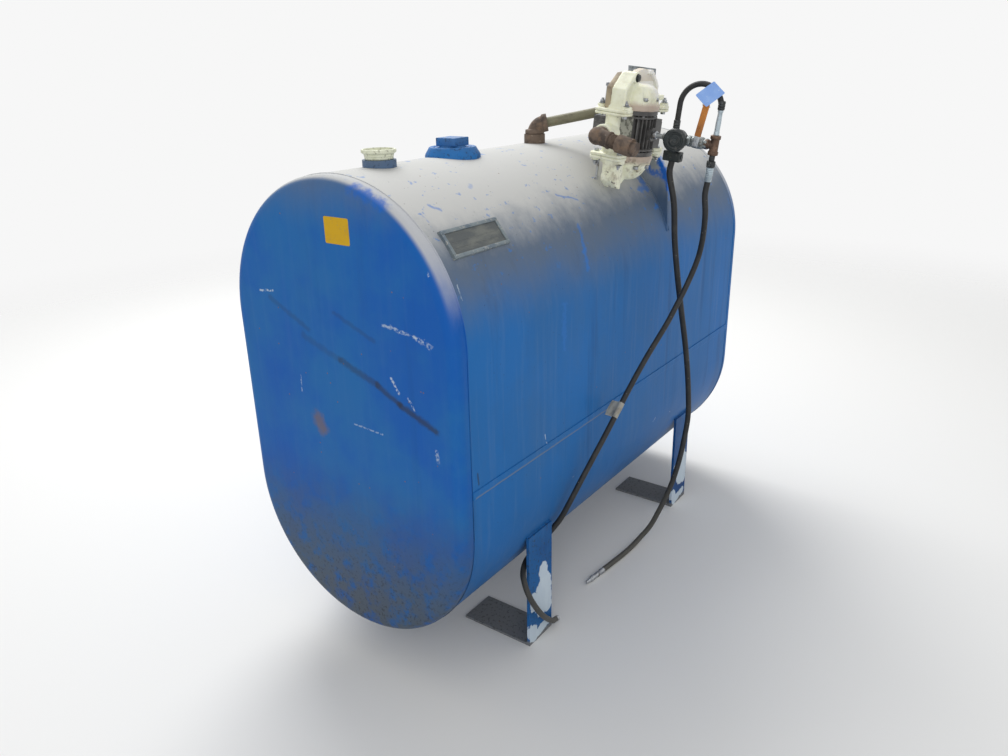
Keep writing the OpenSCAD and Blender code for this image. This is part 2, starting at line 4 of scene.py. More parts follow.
import bmesh
import bpy
from mathutils import Euler, Matrix, Vector
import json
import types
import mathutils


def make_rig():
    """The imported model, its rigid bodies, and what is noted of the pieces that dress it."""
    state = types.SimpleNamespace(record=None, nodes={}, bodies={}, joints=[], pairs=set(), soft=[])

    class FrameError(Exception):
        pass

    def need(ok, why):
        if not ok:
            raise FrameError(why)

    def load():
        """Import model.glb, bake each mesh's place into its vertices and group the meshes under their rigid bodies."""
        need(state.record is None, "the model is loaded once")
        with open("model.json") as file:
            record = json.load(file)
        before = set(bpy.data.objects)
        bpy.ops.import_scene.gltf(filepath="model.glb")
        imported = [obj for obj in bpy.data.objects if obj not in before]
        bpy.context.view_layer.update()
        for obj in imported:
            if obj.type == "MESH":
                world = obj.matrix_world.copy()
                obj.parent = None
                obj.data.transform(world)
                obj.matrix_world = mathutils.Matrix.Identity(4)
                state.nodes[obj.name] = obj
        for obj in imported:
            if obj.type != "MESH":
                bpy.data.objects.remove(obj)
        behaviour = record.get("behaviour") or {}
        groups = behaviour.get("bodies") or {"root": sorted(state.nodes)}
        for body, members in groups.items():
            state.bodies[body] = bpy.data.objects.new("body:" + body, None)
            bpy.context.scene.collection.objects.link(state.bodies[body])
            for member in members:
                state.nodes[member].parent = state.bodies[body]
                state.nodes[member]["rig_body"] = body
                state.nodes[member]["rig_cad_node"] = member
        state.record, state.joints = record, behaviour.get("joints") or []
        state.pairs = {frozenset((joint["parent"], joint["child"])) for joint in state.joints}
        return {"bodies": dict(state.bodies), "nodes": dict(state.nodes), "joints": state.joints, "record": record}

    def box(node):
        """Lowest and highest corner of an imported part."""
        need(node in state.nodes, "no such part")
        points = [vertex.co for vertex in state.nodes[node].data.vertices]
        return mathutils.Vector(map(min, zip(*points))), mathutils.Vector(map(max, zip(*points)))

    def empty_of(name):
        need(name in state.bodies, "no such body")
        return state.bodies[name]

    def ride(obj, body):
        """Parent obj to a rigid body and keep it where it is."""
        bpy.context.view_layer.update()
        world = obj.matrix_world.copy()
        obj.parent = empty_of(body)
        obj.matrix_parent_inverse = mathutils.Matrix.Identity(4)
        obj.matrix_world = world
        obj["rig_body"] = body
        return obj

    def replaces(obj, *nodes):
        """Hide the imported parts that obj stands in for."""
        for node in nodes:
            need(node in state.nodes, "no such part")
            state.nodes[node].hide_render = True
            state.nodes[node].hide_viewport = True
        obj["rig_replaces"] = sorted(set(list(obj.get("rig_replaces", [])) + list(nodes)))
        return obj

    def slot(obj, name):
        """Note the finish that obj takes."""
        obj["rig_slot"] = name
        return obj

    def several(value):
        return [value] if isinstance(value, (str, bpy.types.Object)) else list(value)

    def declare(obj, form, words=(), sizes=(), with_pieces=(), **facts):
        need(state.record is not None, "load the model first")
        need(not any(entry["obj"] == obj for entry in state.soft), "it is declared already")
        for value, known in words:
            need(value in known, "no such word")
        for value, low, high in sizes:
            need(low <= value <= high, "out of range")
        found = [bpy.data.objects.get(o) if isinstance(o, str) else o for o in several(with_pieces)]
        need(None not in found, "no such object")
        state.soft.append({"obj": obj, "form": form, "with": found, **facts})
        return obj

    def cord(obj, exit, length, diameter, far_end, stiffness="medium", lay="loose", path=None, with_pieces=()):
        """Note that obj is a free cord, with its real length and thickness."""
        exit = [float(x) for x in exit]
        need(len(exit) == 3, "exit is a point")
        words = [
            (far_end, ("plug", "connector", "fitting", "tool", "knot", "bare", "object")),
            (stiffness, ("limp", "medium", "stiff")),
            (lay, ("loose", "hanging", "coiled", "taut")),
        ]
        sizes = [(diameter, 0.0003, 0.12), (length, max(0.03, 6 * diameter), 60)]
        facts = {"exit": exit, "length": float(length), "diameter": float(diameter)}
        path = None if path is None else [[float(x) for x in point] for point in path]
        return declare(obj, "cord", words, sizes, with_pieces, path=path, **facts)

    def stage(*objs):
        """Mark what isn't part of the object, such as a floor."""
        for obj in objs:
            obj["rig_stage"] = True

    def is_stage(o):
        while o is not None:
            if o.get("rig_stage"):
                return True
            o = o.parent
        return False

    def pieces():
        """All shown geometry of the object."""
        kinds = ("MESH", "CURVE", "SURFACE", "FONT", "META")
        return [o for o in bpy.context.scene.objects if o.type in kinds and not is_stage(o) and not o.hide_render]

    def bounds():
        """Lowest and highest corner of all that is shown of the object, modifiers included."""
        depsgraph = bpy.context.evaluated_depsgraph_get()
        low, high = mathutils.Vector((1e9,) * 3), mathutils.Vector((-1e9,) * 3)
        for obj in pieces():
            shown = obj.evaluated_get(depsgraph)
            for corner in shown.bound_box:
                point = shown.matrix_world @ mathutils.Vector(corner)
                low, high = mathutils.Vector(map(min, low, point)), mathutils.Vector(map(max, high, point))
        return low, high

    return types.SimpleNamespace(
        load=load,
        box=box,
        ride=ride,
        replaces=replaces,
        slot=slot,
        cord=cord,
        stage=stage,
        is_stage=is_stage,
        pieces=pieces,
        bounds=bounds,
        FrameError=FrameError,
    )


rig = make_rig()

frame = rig.load()
cad_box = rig.bounds()
nodes = frame["nodes"]

# The view: a camera beside and above the near head, a plain pale floor and soft light
# from overhead and a little behind, so that the pump side stays in open shade.
yaw, pitch, roll = math.radians(36.151), math.radians(-21.185), -0.0203
camera_at = Vector((-1.9186, -1.2107, 1.4331))
ahead = Vector((math.cos(yaw) * math.cos(pitch), math.sin(yaw) * math.cos(pitch), math.sin(pitch)))
level = Vector((math.sin(yaw), -math.cos(yaw), 0))
upright = level.cross(ahead)


def show(made):
    """Links an object into the scene."""
    bpy.context.scene.collection.objects.link(made)
    return made


def add(tree, kind, sockets=None, **options):
    """Puts a node in the tree, sets its options, and sets or links its inputs."""
    node = tree.nodes.new("ShaderNode" + kind)
    for key, value in options.items():
        setattr(node, key, value)
    for key, value in (sockets or {}).items():
        if isinstance(value, bpy.types.NodeSocket):
            tree.links.new(value, node.inputs[key])
        else:
            node.inputs[key].default_value = value
    return node


def tree_of(values):
    """The tree that the first socket among the values is in."""
    return next(v.id_data for v in values if isinstance(v, bpy.types.NodeSocket))


def maths(operation, *values, **options):
    """What a Math node makes of its values."""
    sockets = dict(enumerate(values))
    return add(tree_of(values), "Math", sockets, operation=operation, **options).outputs[0]


def vectors(operation, a, b=None):
    """What a VectorMath node makes of one vector, of two, or of one and a number to scale it."""
    sockets = {0: a} if b is None else {0: a, 3 if operation == "SCALE" else 1: b}
    result = "Value" if operation in ("DISTANCE", "DOT_PRODUCT", "LENGTH") else "Vector"
    return add(tree_of((a, b)), "VectorMath", sockets, operation=operation).outputs[result]


camera = show(bpy.data.objects.new("camera", bpy.data.cameras.new("camera")))
camera.data.sensor_width = 36
camera.data.lens = 28.846
camera.matrix_world = Matrix.Translation(camera_at) @ Matrix((
    math.cos(roll) * level + math.sin(roll) * upright,
    math.cos(roll) * upright - math.sin(roll) * level,
    -ahead,
)).transposed().to_4x4()
bpy.context.scene.camera = camera
bpy.context.scene.view_settings.view_transform = "Standard"

world = bpy.data.worlds.new("studio")
bpy.context.scene.world = world
world.use_nodes = True
tree = world.node_tree
tree.nodes.clear()
rays = add(tree, "LightPath").outputs
seen = maths("MAXIMUM", rays["Is Camera Ray"], rays["Is Glossy Ray"])
seen = maths("MAXIMUM", seen, rays["Is Transmission Ray"])
soft = add(tree, "Background", {"Color": (1, 1, 1, 1), "Strength": 0.62})
plain = add(tree, "Background", {"Color": (0.93, 0.93, 0.93, 1), "Strength": 1})
shown = add(tree, "MixShader", {0: seen, 1: soft.outputs[0], 2: plain.outputs[0]})
tree.links.new(shown.outputs[0], add(tree, "OutputWorld").inputs[0])

bm = bmesh.new()
bmesh.ops.create_grid(bm, x_segments=1, y_segments=1, size=30)
mesh = bpy.data.meshes.new("floor")
bm.to_mesh(mesh)
bm.free()
floor = show(bpy.data.objects.new("floor", mesh))
finish = bpy.data.materials.new("floor_pale")
finish.use_nodes = True
tree = finish.node_tree
shader = tree.nodes["Principled BSDF"]
shader.inputs["Base Color"].default_value = (0.8, 0.8, 0.79, 1)
shader.inputs["Roughness"].default_value = 0.9
far_off = vectors("LENGTH", add(tree, "TexCoord").outputs["Object"])
fade = add(tree, "MapRange", {0: far_off, 1: 2.2, 2: 5.5, 3: 1, 4: 0},
    interpolation_type="SMOOTHSTEP")
tree.links.new(fade.outputs[0], shader.inputs["Alpha"])
mesh.materials.append(finish)
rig.stage(floor)

lit = Vector((0, 0, 0.7))
for name, place, size, power in (
    ("overhead", (1.6, 2.4, 4.2), 3, 190),
    ("front", (-3.4, -2.6, 2.4), 2.6, 40),
):
    lamp = show(bpy.data.objects.new(name, bpy.data.lights.new(name, "AREA")))
    lamp.data.size = size
    lamp.data.energy = power
    lamp.location = place
    lamp.rotation_euler = (lit - Vector(place)).to_track_quat("-Z", "Y").to_euler()


# Shell: two rolled steel sheets, lapped along the sides and welded, painted blue.
# Sun has chalked the paint on top to a sandy grey, made paler still as a painted highlight of sunlight; brush strokes
# of fresh blue lie over it.
def ease(value, low, high):
    """0 at low, 1 at high, smooth between them."""
    return add(value.id_data, "MapRange", {0: value, 1: low, 2: high},
        interpolation_type="SMOOTHSTEP").outputs[0]


def between(value, low, high):
    """From low to high as the value goes from 0 to 1."""
    return add(value.id_data, "MapRange", {0: value, 3: low, 4: high}).outputs[0]


def times(*values):
    """The product of two values or more."""
    product = values[0]
    for value in values[1:]:
        product = maths("MULTIPLY", product, value)
    return product


def noise(where, scale, detail=2, roughness=0.5, output="Fac"):
    sockets = {"Vector": where, "Scale": scale, "Detail": detail, "Roughness": roughness}
    return add(where.id_data, "TexNoise", sockets).outputs[output]


def one_axis(vector, axis):
    return add(vector.id_data, "SeparateXYZ", {0: vector}).outputs[axis]


def layer(share, under, over):
    """One colour laid over another, by a share."""
    under, over = ((*c, 1) if isinstance(c, tuple) else c for c in (under, over))
    sockets = {0: share, 6: under, 7: over}
    return add(share.id_data, "Mix", sockets, data_type="RGBA").outputs[2]


def effect(name, amounts, build):
    """A shader group that reads a Vector and named amounts, and puts out one Mask."""
    group = bpy.data.node_groups.new(name, "ShaderNodeTree")
    face = group.interface
    face.new_socket(name="Vector", in_out="INPUT", socket_type="NodeSocketVector")
    for key, amount in amounts.items():
        kind = "NodeSocketVector" if isinstance(amount, tuple) else "NodeSocketFloat"
        face.new_socket(name=key, in_out="INPUT", socket_type=kind).default_value = amount
    face.new_socket(name="Mask", in_out="OUTPUT", socket_type="NodeSocketFloat")
    given = group.nodes.new("NodeGroupInput").outputs
    group.links.new(build(given), group.nodes.new("NodeGroupOutput").inputs["Mask"])
    return group


def patch_mask(given):
    """Soft or hard-edged patches where a noise passes Level."""
    spread = vectors("MULTIPLY", given["Vector"], given["Stretch"])
    top = maths("ADD", given["Level"], given["Edge"])
    return ease(noise(spread, given["Scale"], 6, 0.62), given["Level"], top)


def speck_mask(given):
    """Round specks, a share of the cells of a Voronoi pattern."""
    sockets = {key: given[key] for key in ("Vector", "Scale")}
    cells = add(given["Vector"].id_data, "TexVoronoi", sockets).outputs
    off = ease(cells["Distance"], times(given["Size"], 0.5), given["Size"])
    pick = add(cells["Color"].id_data, "SeparateColor", {0: cells["Color"]}).outputs[0]
    kept = maths("LESS_THAN", pick, given["Share"])
    return times(maths("SUBTRACT", 1, off), kept)


def stroke_mask(given):
    """1 along the line from Start to End, with an edge made ragged by Sway."""
    shift = vectors("SCALE", given["Sway"], given["Ragged"])
    out = vectors("SUBTRACT", vectors("ADD", given["Vector"], shift), given["Start"])
    line = vectors("SUBTRACT", given["End"], given["Start"])
    top, base = vectors("DOT_PRODUCT", out, line), vectors("DOT_PRODUCT", line, line)
    share = maths("DIVIDE", top, base, use_clamp=True)
    off = vectors("DISTANCE", out, vectors("SCALE", line, share))
    inner = times(given["Width"], 0.5, 0.4)
    return maths("SUBTRACT", 1, ease(off, inner, given["Width"]))


origin = (0, 0, 0)
patches = effect("patches", {"Scale": 8, "Level": 0.5, "Edge": 0.1, "Stretch": (1, 1, 1)},
    patch_mask)
specks = effect("specks", {"Scale": 80, "Size": 0.3, "Share": 0.3}, speck_mask)
stroke = effect("stroke", {"Sway": origin, "Start": origin, "End": (0, 0, 1), "Width": 0.01,
    "Ragged": 0.01}, stroke_mask)


def mask(group, where, **amounts):
    """The Mask that a group puts out for these amounts."""
    sockets = {"Vector": where, **amounts}
    return add(where.id_data, "Group", sockets, node_tree=group).outputs["Mask"]


def patchy(where, scale, level, edge, stretch=(1, 1, 1)):
    return mask(patches, where, Scale=scale, Level=level, Edge=edge, Stretch=stretch)


def speckled(where, scale, size, share):
    return mask(specks, where, Scale=scale, Size=size, Share=share)


def new_finish(name, roughness=0.6, metallic=0, specular=0.5):
    """A material with its Principled shader and the Object coordinates."""
    made = bpy.data.materials.new(name)
    made.use_nodes = True
    tree = made.node_tree
    shader = tree.nodes["Principled BSDF"]
    shader.inputs["Roughness"].default_value = roughness
    shader.inputs["Metallic"].default_value = metallic
    shader.inputs["Specular IOR Level"].default_value = specular
    return made, shader, add(tree, "TexCoord").outputs["Object"]


def feed(shader, key, value):
    """Links a value to one of the shader's inputs."""
    shader.id_data.links.new(value, shader.inputs[key])


def roughen(shader, height, depth, strength):
    sockets = {"Height": height, "Distance": depth, "Strength": strength}
    feed(shader, "Normal", add(shader.id_data, "Bump", sockets).outputs[0])


def dress(finish, *names):
    """Gives the frame's own nodes a finish."""
    for name in names:
        mesh = nodes[name].data
        mesh.materials.clear()
        mesh.materials.append(finish)


fresh_blue, paint_blue = (0.01, 0.13, 0.56), (0.03, 0.18, 0.58)
old_blue, deep_blue = (0.016, 0.135, 0.39), (0.008, 0.055, 0.17)
# The sand colour is dust and sun-faded paint, painted pale as a painted highlight of sunlight.
sunlit_sand, chalk, white = (0.6, 0.6, 0.58), (0.22, 0.3, 0.42), (0.55, 0.64, 0.72)
soot, rust = (0.03, 0.035, 0.04), (0.2, 0.12, 0.06)


def tank_paint(name, chalked, grime_and_shade, marks=(), worn=1, under=(0.085, 0.1, 0.105), dust=sunlit_sand,
        first=(0.014, 0.145, 0.44), film=0.36, rim=False):
    """Blue paint that turns dusty between two heights, with painted sunlight on the dusty top and painted shade below
    it and low down, and grimy between two others.
    """
    made, shader, where = new_finish(name, 0.5, specular=0.1)
    height = one_axis(where, "Z")
    tone = layer(patchy(where, 2.6, 0.4, 0.25), old_blue, first)
    # Clouds, then fine streaks and dark drips that run down.
    for scale, level, edge, squeeze, share, colour in (
        (9, 0.42, 0.3, 0.45, 0.3, (0.05, 0.145, 0.32)),
        (55, 0.48, 0.25, 0.05, 0.09, chalk),
        (18, 0.54, 0.18, 0.08, 0.35, deep_blue),
    ):
        spot = patchy(where, scale, level, edge, (1, 1, squeeze))
        tone = layer(times(spot, share * worn), tone, colour)
    # Painted shade: the paint darkens toward the bottom of the tank, where less light reaches.
    tone = layer(times(ease(height, 0.6, 0.25), 0.3), tone, deep_blue)

    # Chalk: a bluish veil below it, grey dust darkened with painted shade where the shoulder turns from the light, and
    # on a head a pale rim too.
    drawn_out = vectors("MULTIPLY", where, (1, 1, 0.4))
    rise = maths("MULTIPLY_ADD", noise(drawn_out, 9, 6, 0.7), 0.11, height)
    shaded_dust_veil = ease(rise, chalked[0] - 0.11, chalked[1] - 0.02)
    tone = layer(times(shaded_dust_veil, 0.8), tone, tuple(a * b for a, b in zip((0.25, 0.285, 0.32), dust)))
    # The sandy top: faded paint and dust, painted pale over the sunlit part as a painted highlight.
    sunlit_sand_share = times(ease(rise, chalked[1] - 0.05, chalked[1] + 0.06), 0.93)
    if rim:
        reach = maths("ABSOLUTE", one_axis(where, "X"))
        edge = times(ease(reach, 0.758, 0.749), ease(rise, 0.98, 1.18), 0.85)
        sunlit_sand_share = maths("MAXIMUM", sunlit_sand_share, edge)
    tone = layer(sunlit_sand_share, tone, dust)
    flecks = times(patchy(where, 42, 0.635, 0.03), shaded_dust_veil, 0.5 * worn)
    tone = layer(flecks, tone, (0.04, 0.2, 0.58))

    # Grime low down, which on the bracket lies at its top as dark grime and painted shade, soot specks and rust spots.
    low = ease(height, grime_and_shade[1], grime_and_shade[0])
    tone = layer(times(low, patchy(where, 26, film, 0.3), 0.9), tone, under)
    sooty = times(speckled(where, 85, 0.16, 0.12), 0.45 * worn)
    tone = layer(sooty, tone, soot)
    lower = ease(height, grime_and_shade[1] - 0.05, grime_and_shade[0])
    sooty = times(patchy(where, 120, 0.54, 0.1), lower, 0.55)
    tone = layer(sooty, tone, soot)
    tone = layer(times(speckled(where, 26, 0.06, 0.2), 0.8), tone, rust)

    if marks:
        sway = noise(where, 55, 5, 0.6, "Color")
        sway = vectors("SUBTRACT", sway, (0.5, 0.5, 0.5))
        broken = patchy(where, 150, 0.44, 0.08)
    for start, end, width, ragged, colour, share in marks:
        spot = mask(stroke, where, Sway=sway, Start=start, End=end, Width=width,
            Ragged=1.6 * ragged)
        if colour == white:
            spot = times(spot, broken) if width < 0.02 else ease(spot, 0.35, 0.5)
        tone = layer(times(spot, share), tone, colour)
    feed(shader, "Base Color", tone)
    feed(shader, "Roughness", between(sunlit_sand_share, 0.45, 0.85))
    dents, grain = noise(where, 3), noise(where, 140, 4)
    roughen(shader, maths("MULTIPLY_ADD", grain, 0.05, dents), 0.008, 0.35)
    return made


shell_marks = (
    ((-0.65, -0.1, 1.165), (-0.629, -0.115, 1.157), 0.007, 0.012, paint_blue, 0.55),
    ((-0.69, -0.115, 1.155), (-0.687, -0.132, 1.141), 0.005, 0.01, paint_blue, 0.43),
    ((-0.484, -0.08, 1.18), (-0.47, -0.07, 1.184), 0.009, 0.012, paint_blue, 0.32),
    ((0.475, -0.053, 1.194), (0.382, -0.156, 1.117), 0.012, 0.02, paint_blue, 0.75),
    ((0.382, -0.156, 1.117), (0.321, -0.186, 1.081), 0.018, 0.03, paint_blue, 0.63),
    ((0.253, -0.131, 1.142), (0.206, -0.158, 1.116), 0.022, 0.03, paint_blue, 0.71),
    ((0.167, -0.172, 1.099), (0.216, -0.172, 1.099), 0.014, 0.03, paint_blue, 0.63),
    ((0.257, -0.198, 1.061), (0.33, -0.188, 1.078), 0.022, 0.03, paint_blue, 0.71),
    ((0.197, -0.206, 1.048), (0.26, -0.2, 1.057), 0.01, 0.02, paint_blue, 0.63),
    ((0.2, -0.226, 0.985), (0.27, -0.224, 0.99), 0.005, 0.012, paint_blue, 0.47),
    ((-0.222, -0.14, 1.134), (-0.15, -0.16, 1.116), 0.006, 0.012, paint_blue, 0.55),
    ((-0.21, -0.2, 1.065), (-0.225, -0.222, 1.01), 0.009, 0.02, paint_blue, 0.63),
    ((-0.225, -0.222, 1.01), (-0.23, -0.234, 0.965), 0.016, 0.03, paint_blue, 0.63),
    ((-0.35, -0.247, 0.9), (-0.352, -0.247, 0.8), 0.014, 0.03, paint_blue, 0.4),
    ((-0.437, -0.247, 0.6), (-0.428, -0.247, 0.572), 0.0024, 0.0028, white, 0.68),
    ((0.176, -0.245, 0.402), (0.19, -0.244, 0.41), 0.003, 0.0056, white, 0.68),
    ((0.3, -0.24, 0.39), (0.315, -0.238, 0.385), 0.0024, 0.0042, white, 0.6),
    ((-0.703, -0.247, 0.612), (-0.7, -0.247, 0.585), 0.00375, 0.006, soot, 0.64),
    ((-0.306, -0.245, 0.424), (-0.27, -0.244, 0.43), 0.0018, 0.0028, white, 0.38),
    ((-0.712, -0.249, 0.556), (-0.05, -0.249, 0.556), 0.004, 0.003, (0.22, 0.23, 0.2), 0.5),
    ((-0.709, -0.216, 1.027), (-0.71, -0.228, 0.998), 0.0024, 0.0056, white, 0.6),
)
shell_paint = tank_paint("tank_paint_shell", (1.04, 1.155), (0.12, 0.36), shell_marks)
dress(shell_paint, "shell_upper", "shell_lower")


def slot_of(finish):
    """The slot that a finish belongs to: the first two words of its name."""
    return "_".join(finish.name.split("_")[:2])


def put_curve(name, line, width, finish, closed=False, widths=None, body="tank"):
    """A round bead, wire or hose on a line of points, of one width or one for each point."""
    curve = bpy.data.curves.new(name, "CURVE")
    curve.dimensions = "3D"
    spline = curve.splines.new("POLY")
    spline.points.add(len(line) - 1)
    for k, (knot, point) in enumerate(zip(spline.points, line)):
        knot.co = (*point, 1)
        knot.radius = widths[k] if widths else 1
    spline.use_cyclic_u = closed
    spline.use_smooth = True
    curve.bevel_depth = width / 2
    curve.bevel_resolution = 6 if width > 0.006 else 2
    curve.use_fill_caps = not closed
    curve.materials.append(finish)
    made = show(bpy.data.objects.new(name, curve))
    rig.ride(made, body)
    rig.slot(made, slot_of(finish))
    return made


def weld(name, line, width, finish, closed=False):
    """A bead of weld metal, rippled where the rod paused."""
    chance = random.Random(name)
    ripple = [chance.uniform(0.75, 1) for _ in line]
    put_curve(name, line, width, finish, closed, ripple)


# The tank's middle plane, the radius and heights of its round top and bottom, and its seam.
middle, tank_r, top_axis, low_axis, seam_z = 0.09587, 0.343, 0.885, 0.453, 0.5545
sides = (("right", -1), ("left", 1))
for side, out in sides:
    lap = [(-0.722 + 0.004 * k, middle + out * tank_r, seam_z) for k in range(362)]
    weld("lap_weld_" + side, lap, 0.0032, shell_paint)


# Heads: pressed flat discs with a turned edge, butt welded to the shell all round.
# The near one carries a yellow sticker, rub marks and chips, and a grimy foot.
def marks_at(x, rows):
    """Marks on a face across the tank: y, z, y, z, width, raggedness, colour, strength."""
    return [((x, y0, z0), (x, y1, z1), *rest) for y0, z0, y1, z1, *rest in rows]


def circle(count, radius, first=0):
    """Points spaced evenly on a circle, each with its angle in degrees."""
    for k in range(count):
        a = first + k * 360 / count
        yield radius * math.cos(math.radians(a)), radius * math.sin(math.radians(a)), a


near_x = -0.762
near_marks = marks_at(near_x, (
    (0.202, 0.864, 0.087, 0.826, 0.012, 0.012, soot, 0.22),
    (0.087, 0.826, -0.023, 0.789, 0.0125, 0.01, soot, 0.45),
    (-0.023, 0.789, -0.088, 0.757, 0.0115, 0.008, soot, 0.6),
    (-0.088, 0.757, -0.187, 0.719, 0.0125, 0.01, soot, 0.68),
    (0.305, 0.939, 0.183, 0.882, 0.01, 0.01, soot, 0.25),
    (0.094, 0.934, -0.024, 0.89, 0.008, 0.008, soot, 0.25),
    (0.18, 0.658, 0.172, 0.64, 0.03, 0.02, rust, 0.6),
    (0.339, 0.951, 0.29, 0.957, 0.004, 0.006, white, 0.75),
    (-0.192, 1.091, -0.188, 1.051, 0.004, 0.008, white, 0.8),
    (-0.225, 1.056, -0.234, 1.028, 0.006, 0.012, white, 0.8),
    (-0.234, 1.028, -0.245, 1.006, 0.005, 0.01, white, 0.7),
    (-0.055, 0.93, -0.103, 0.926, 0.005, 0.012, white, 0.55),
    (-0.103, 0.926, -0.144, 0.918, 0.006, 0.014, white, 0.55),
    (-0.144, 0.918, -0.183, 0.905, 0.009, 0.02, white, 0.5),
    (-0.067, 0.813, -0.087, 0.782, 0.005, 0.006, white, 0.75),
    (-0.113, 0.777, -0.128, 0.755, 0.004, 0.006, white, 0.6),
    (0.227, 0.759, 0.23, 0.719, 0.003, 0.005, white, 0.4),
    (0.058, 0.676, -0.029, 0.671, 0.003, 0.006, white, 0.45),
    (-0.186, 0.672, -0.189, 0.647, 0.006, 0.01, white, 0.5),
    (0, 1.216, -0.075, 1.188, 0.03, 0.03, fresh_blue, 0.75),
    (-0.262, 0.665, -0.264, 0.648, 0.016, 0.012, soot, 0.75),
    (-0.255, 0.52, -0.255, 0.44, 0.006, 0.012, soot, 0.4),
))
near_paint = tank_paint("tank_paint_near_head", (1.27, 1.38), (0.13, 0.6), near_marks, 0.35,
    first=(0.008, 0.1, 0.41), film=0.26, rim=True)
far_paint = tank_paint("tank_paint_far_head", (1.27, 1.38), (0.13, 0.5), worn=0.5, rim=True)
dress(near_paint, "near_head")
dress(far_paint, "far_head")
seam_r = tank_r + 0.0001
for name, x, finish in (("near_seam", -0.7235, near_paint), ("far_seam", 0.7235, far_paint)):
    arc = [(x, middle + across, (top_axis if a < 180 else low_axis) + up)
        for across, up, a in circle(360, seam_r)]
    down = [(x, middle - seam_r, low_axis + 0.006 * k) for k in range(71, 0, -1)]
    up = [(x, middle + seam_r, low_axis + 0.006 * k) for k in range(1, 72)]
    weld(name, arc[:181] + down + arc[181:] + up, 0.0034, finish, closed=True)


def placed(at, turn=origin):
    """The place at a point, tipped by degrees about X, then Y, then Z."""
    return Matrix.Translation(at) @ Euler([math.radians(a) for a in turn]).to_matrix().to_4x4()


def bar(bm, radius, length, at=origin, turn=origin, end=None, steps=48):
    """A round bar that stands on `at`, tipped by `turn` in degrees, and tapers to `end`."""
    place = placed(at, turn) @ Matrix.Translation((0, 0, length / 2))
    return bmesh.ops.create_cone(bm, cap_ends=True, segments=steps, radius1=radius,
        radius2=radius if end is None else end, depth=length, matrix=place)["verts"]


def block(bm, size, at=origin, turn=origin):
    """A block of a size, centred on `at`."""
    bmesh.ops.create_cube(bm, size=1, matrix=placed(at, turn) @ Matrix.Diagonal((*size, 1)))


def bevel(bm, geom, width, segments, affect="EDGES", **options):
    bmesh.ops.bevel(bm, geom=geom, offset=width, offset_type="OFFSET", affect=affect,
        segments=segments, profile=0.5, material=-1, **options)


def soften(bm, width, segments=2, sharp=40):
    """Rounds every edge that turns by more than `sharp` degrees."""
    edges = [e for e in bm.edges if e.is_manifold and e.calc_face_angle(0) > math.radians(sharp)]
    bevel(bm, edges, width, segments, clamp_overlap=True)


def turned(bm, profile, at=origin, turn=origin, steps=64):
    """A part turned on a lathe, from (radius, height) pairs."""
    before = set(bm.verts)
    verts = [bm.verts.new((r, 0, h)) for r, h in profile]
    edges = [bm.edges.new(pair) for pair in zip(verts, verts[1:])]
    bmesh.ops.spin(bm, geom=verts + edges, cent=origin, axis=(0, 0, 1), angle=math.tau,
        steps=steps, use_merge=True)
    bmesh.ops.remove_doubles(bm, verts=[v for v in bm.verts if v not in before], dist=1e-6)
    made = [v for v in bm.verts if v not in before]
    bmesh.ops.transform(bm, matrix=placed(at, turn), verts=made)
    return made


def card(bm, wide, high, radius, segments, cells, facing):
    """A sheet in the YZ plane with rounded corners, its face toward +X or -X."""
    bmesh.ops.create_grid(bm, x_segments=cells[0], y_segments=cells[1], size=0.5,
        matrix=Matrix.Rotation(math.radians(90 * facing), 4, "Y"))
    bmesh.ops.transform(bm, matrix=Matrix.Diagonal((1, wide, high, 1)), verts=bm.verts)
    corners = [v for v in bm.verts
        if abs(abs(v.co.y) - wide / 2) < 1e-5 and abs(abs(v.co.z) - high / 2) < 1e-5]
    bevel(bm, corners, radius, segments, "VERTICES")


def put(name, bm, finish, place=None, body="tank", sharp=38, node=None, slot=None):
    """Makes a piece that rides on a body, and may stand in for a node."""
    if place is not None:
        bmesh.ops.transform(bm, matrix=place, verts=bm.verts)
    bmesh.ops.recalc_face_normals(bm, faces=bm.faces)
    mesh = bpy.data.meshes.new(name)
    bm.to_mesh(mesh)
    bm.free()
    mesh.shade_smooth()
    mesh.set_sharp_from_angle(angle=math.radians(sharp))
    mesh.materials.append(finish)
    made = show(bpy.data.objects.new(name, mesh))
    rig.ride(made, body)
    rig.slot(made, slot or slot_of(finish))
    if node:
        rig.replaces(made, node)
    return made


def mottled(name, surface, cells, colours, stains=(), grain=None, over=None):
    """A finish in two mottled colours, with stained patches, a last layer and a grain."""
    made, shader, where = new_finish(name, *surface)
    tone = layer(patchy(where, *cells), *colours)
    for scale, level, edge, share, colour in stains:
        spot = patchy(where, scale, level, edge)
        tone = layer(times(spot, share) if share < 1 else spot, tone, colour)
    if over:
        tone = over(shader, where, tone)
    feed(shader, "Base Color", tone)
    if grain:
        scale, depth, strength, detail = (*grain, 2)[:4]
        roughen(shader, noise(where, scale, detail), depth, strength)
    return made


sticker_paint = mottled("flag_paper_sticker", (0.6, 0, 0.2), (30, 0.5, 0.2),
    ((0.6, 0.36, 0.012), (0.54, 0.32, 0.018)), [(160, 0.62, 0.03, 1, (0.4, 0.28, 0.08))])
bm = bmesh.new()
card(bm, 0.073, 0.057, 0.004, 3, (14, 12), -1)
for v in bm.verts:
    v.co.x = -0.0001 - 0.0005 * max(0, v.co.y + v.co.z - 0.044) / 0.025
bmesh.ops.solidify(bm, geom=bm.faces[:], thickness=0.0003)
put("head_sticker", bm, sticker_paint, placed((near_x - 0.0001, middle - 0.037, 1.117)))

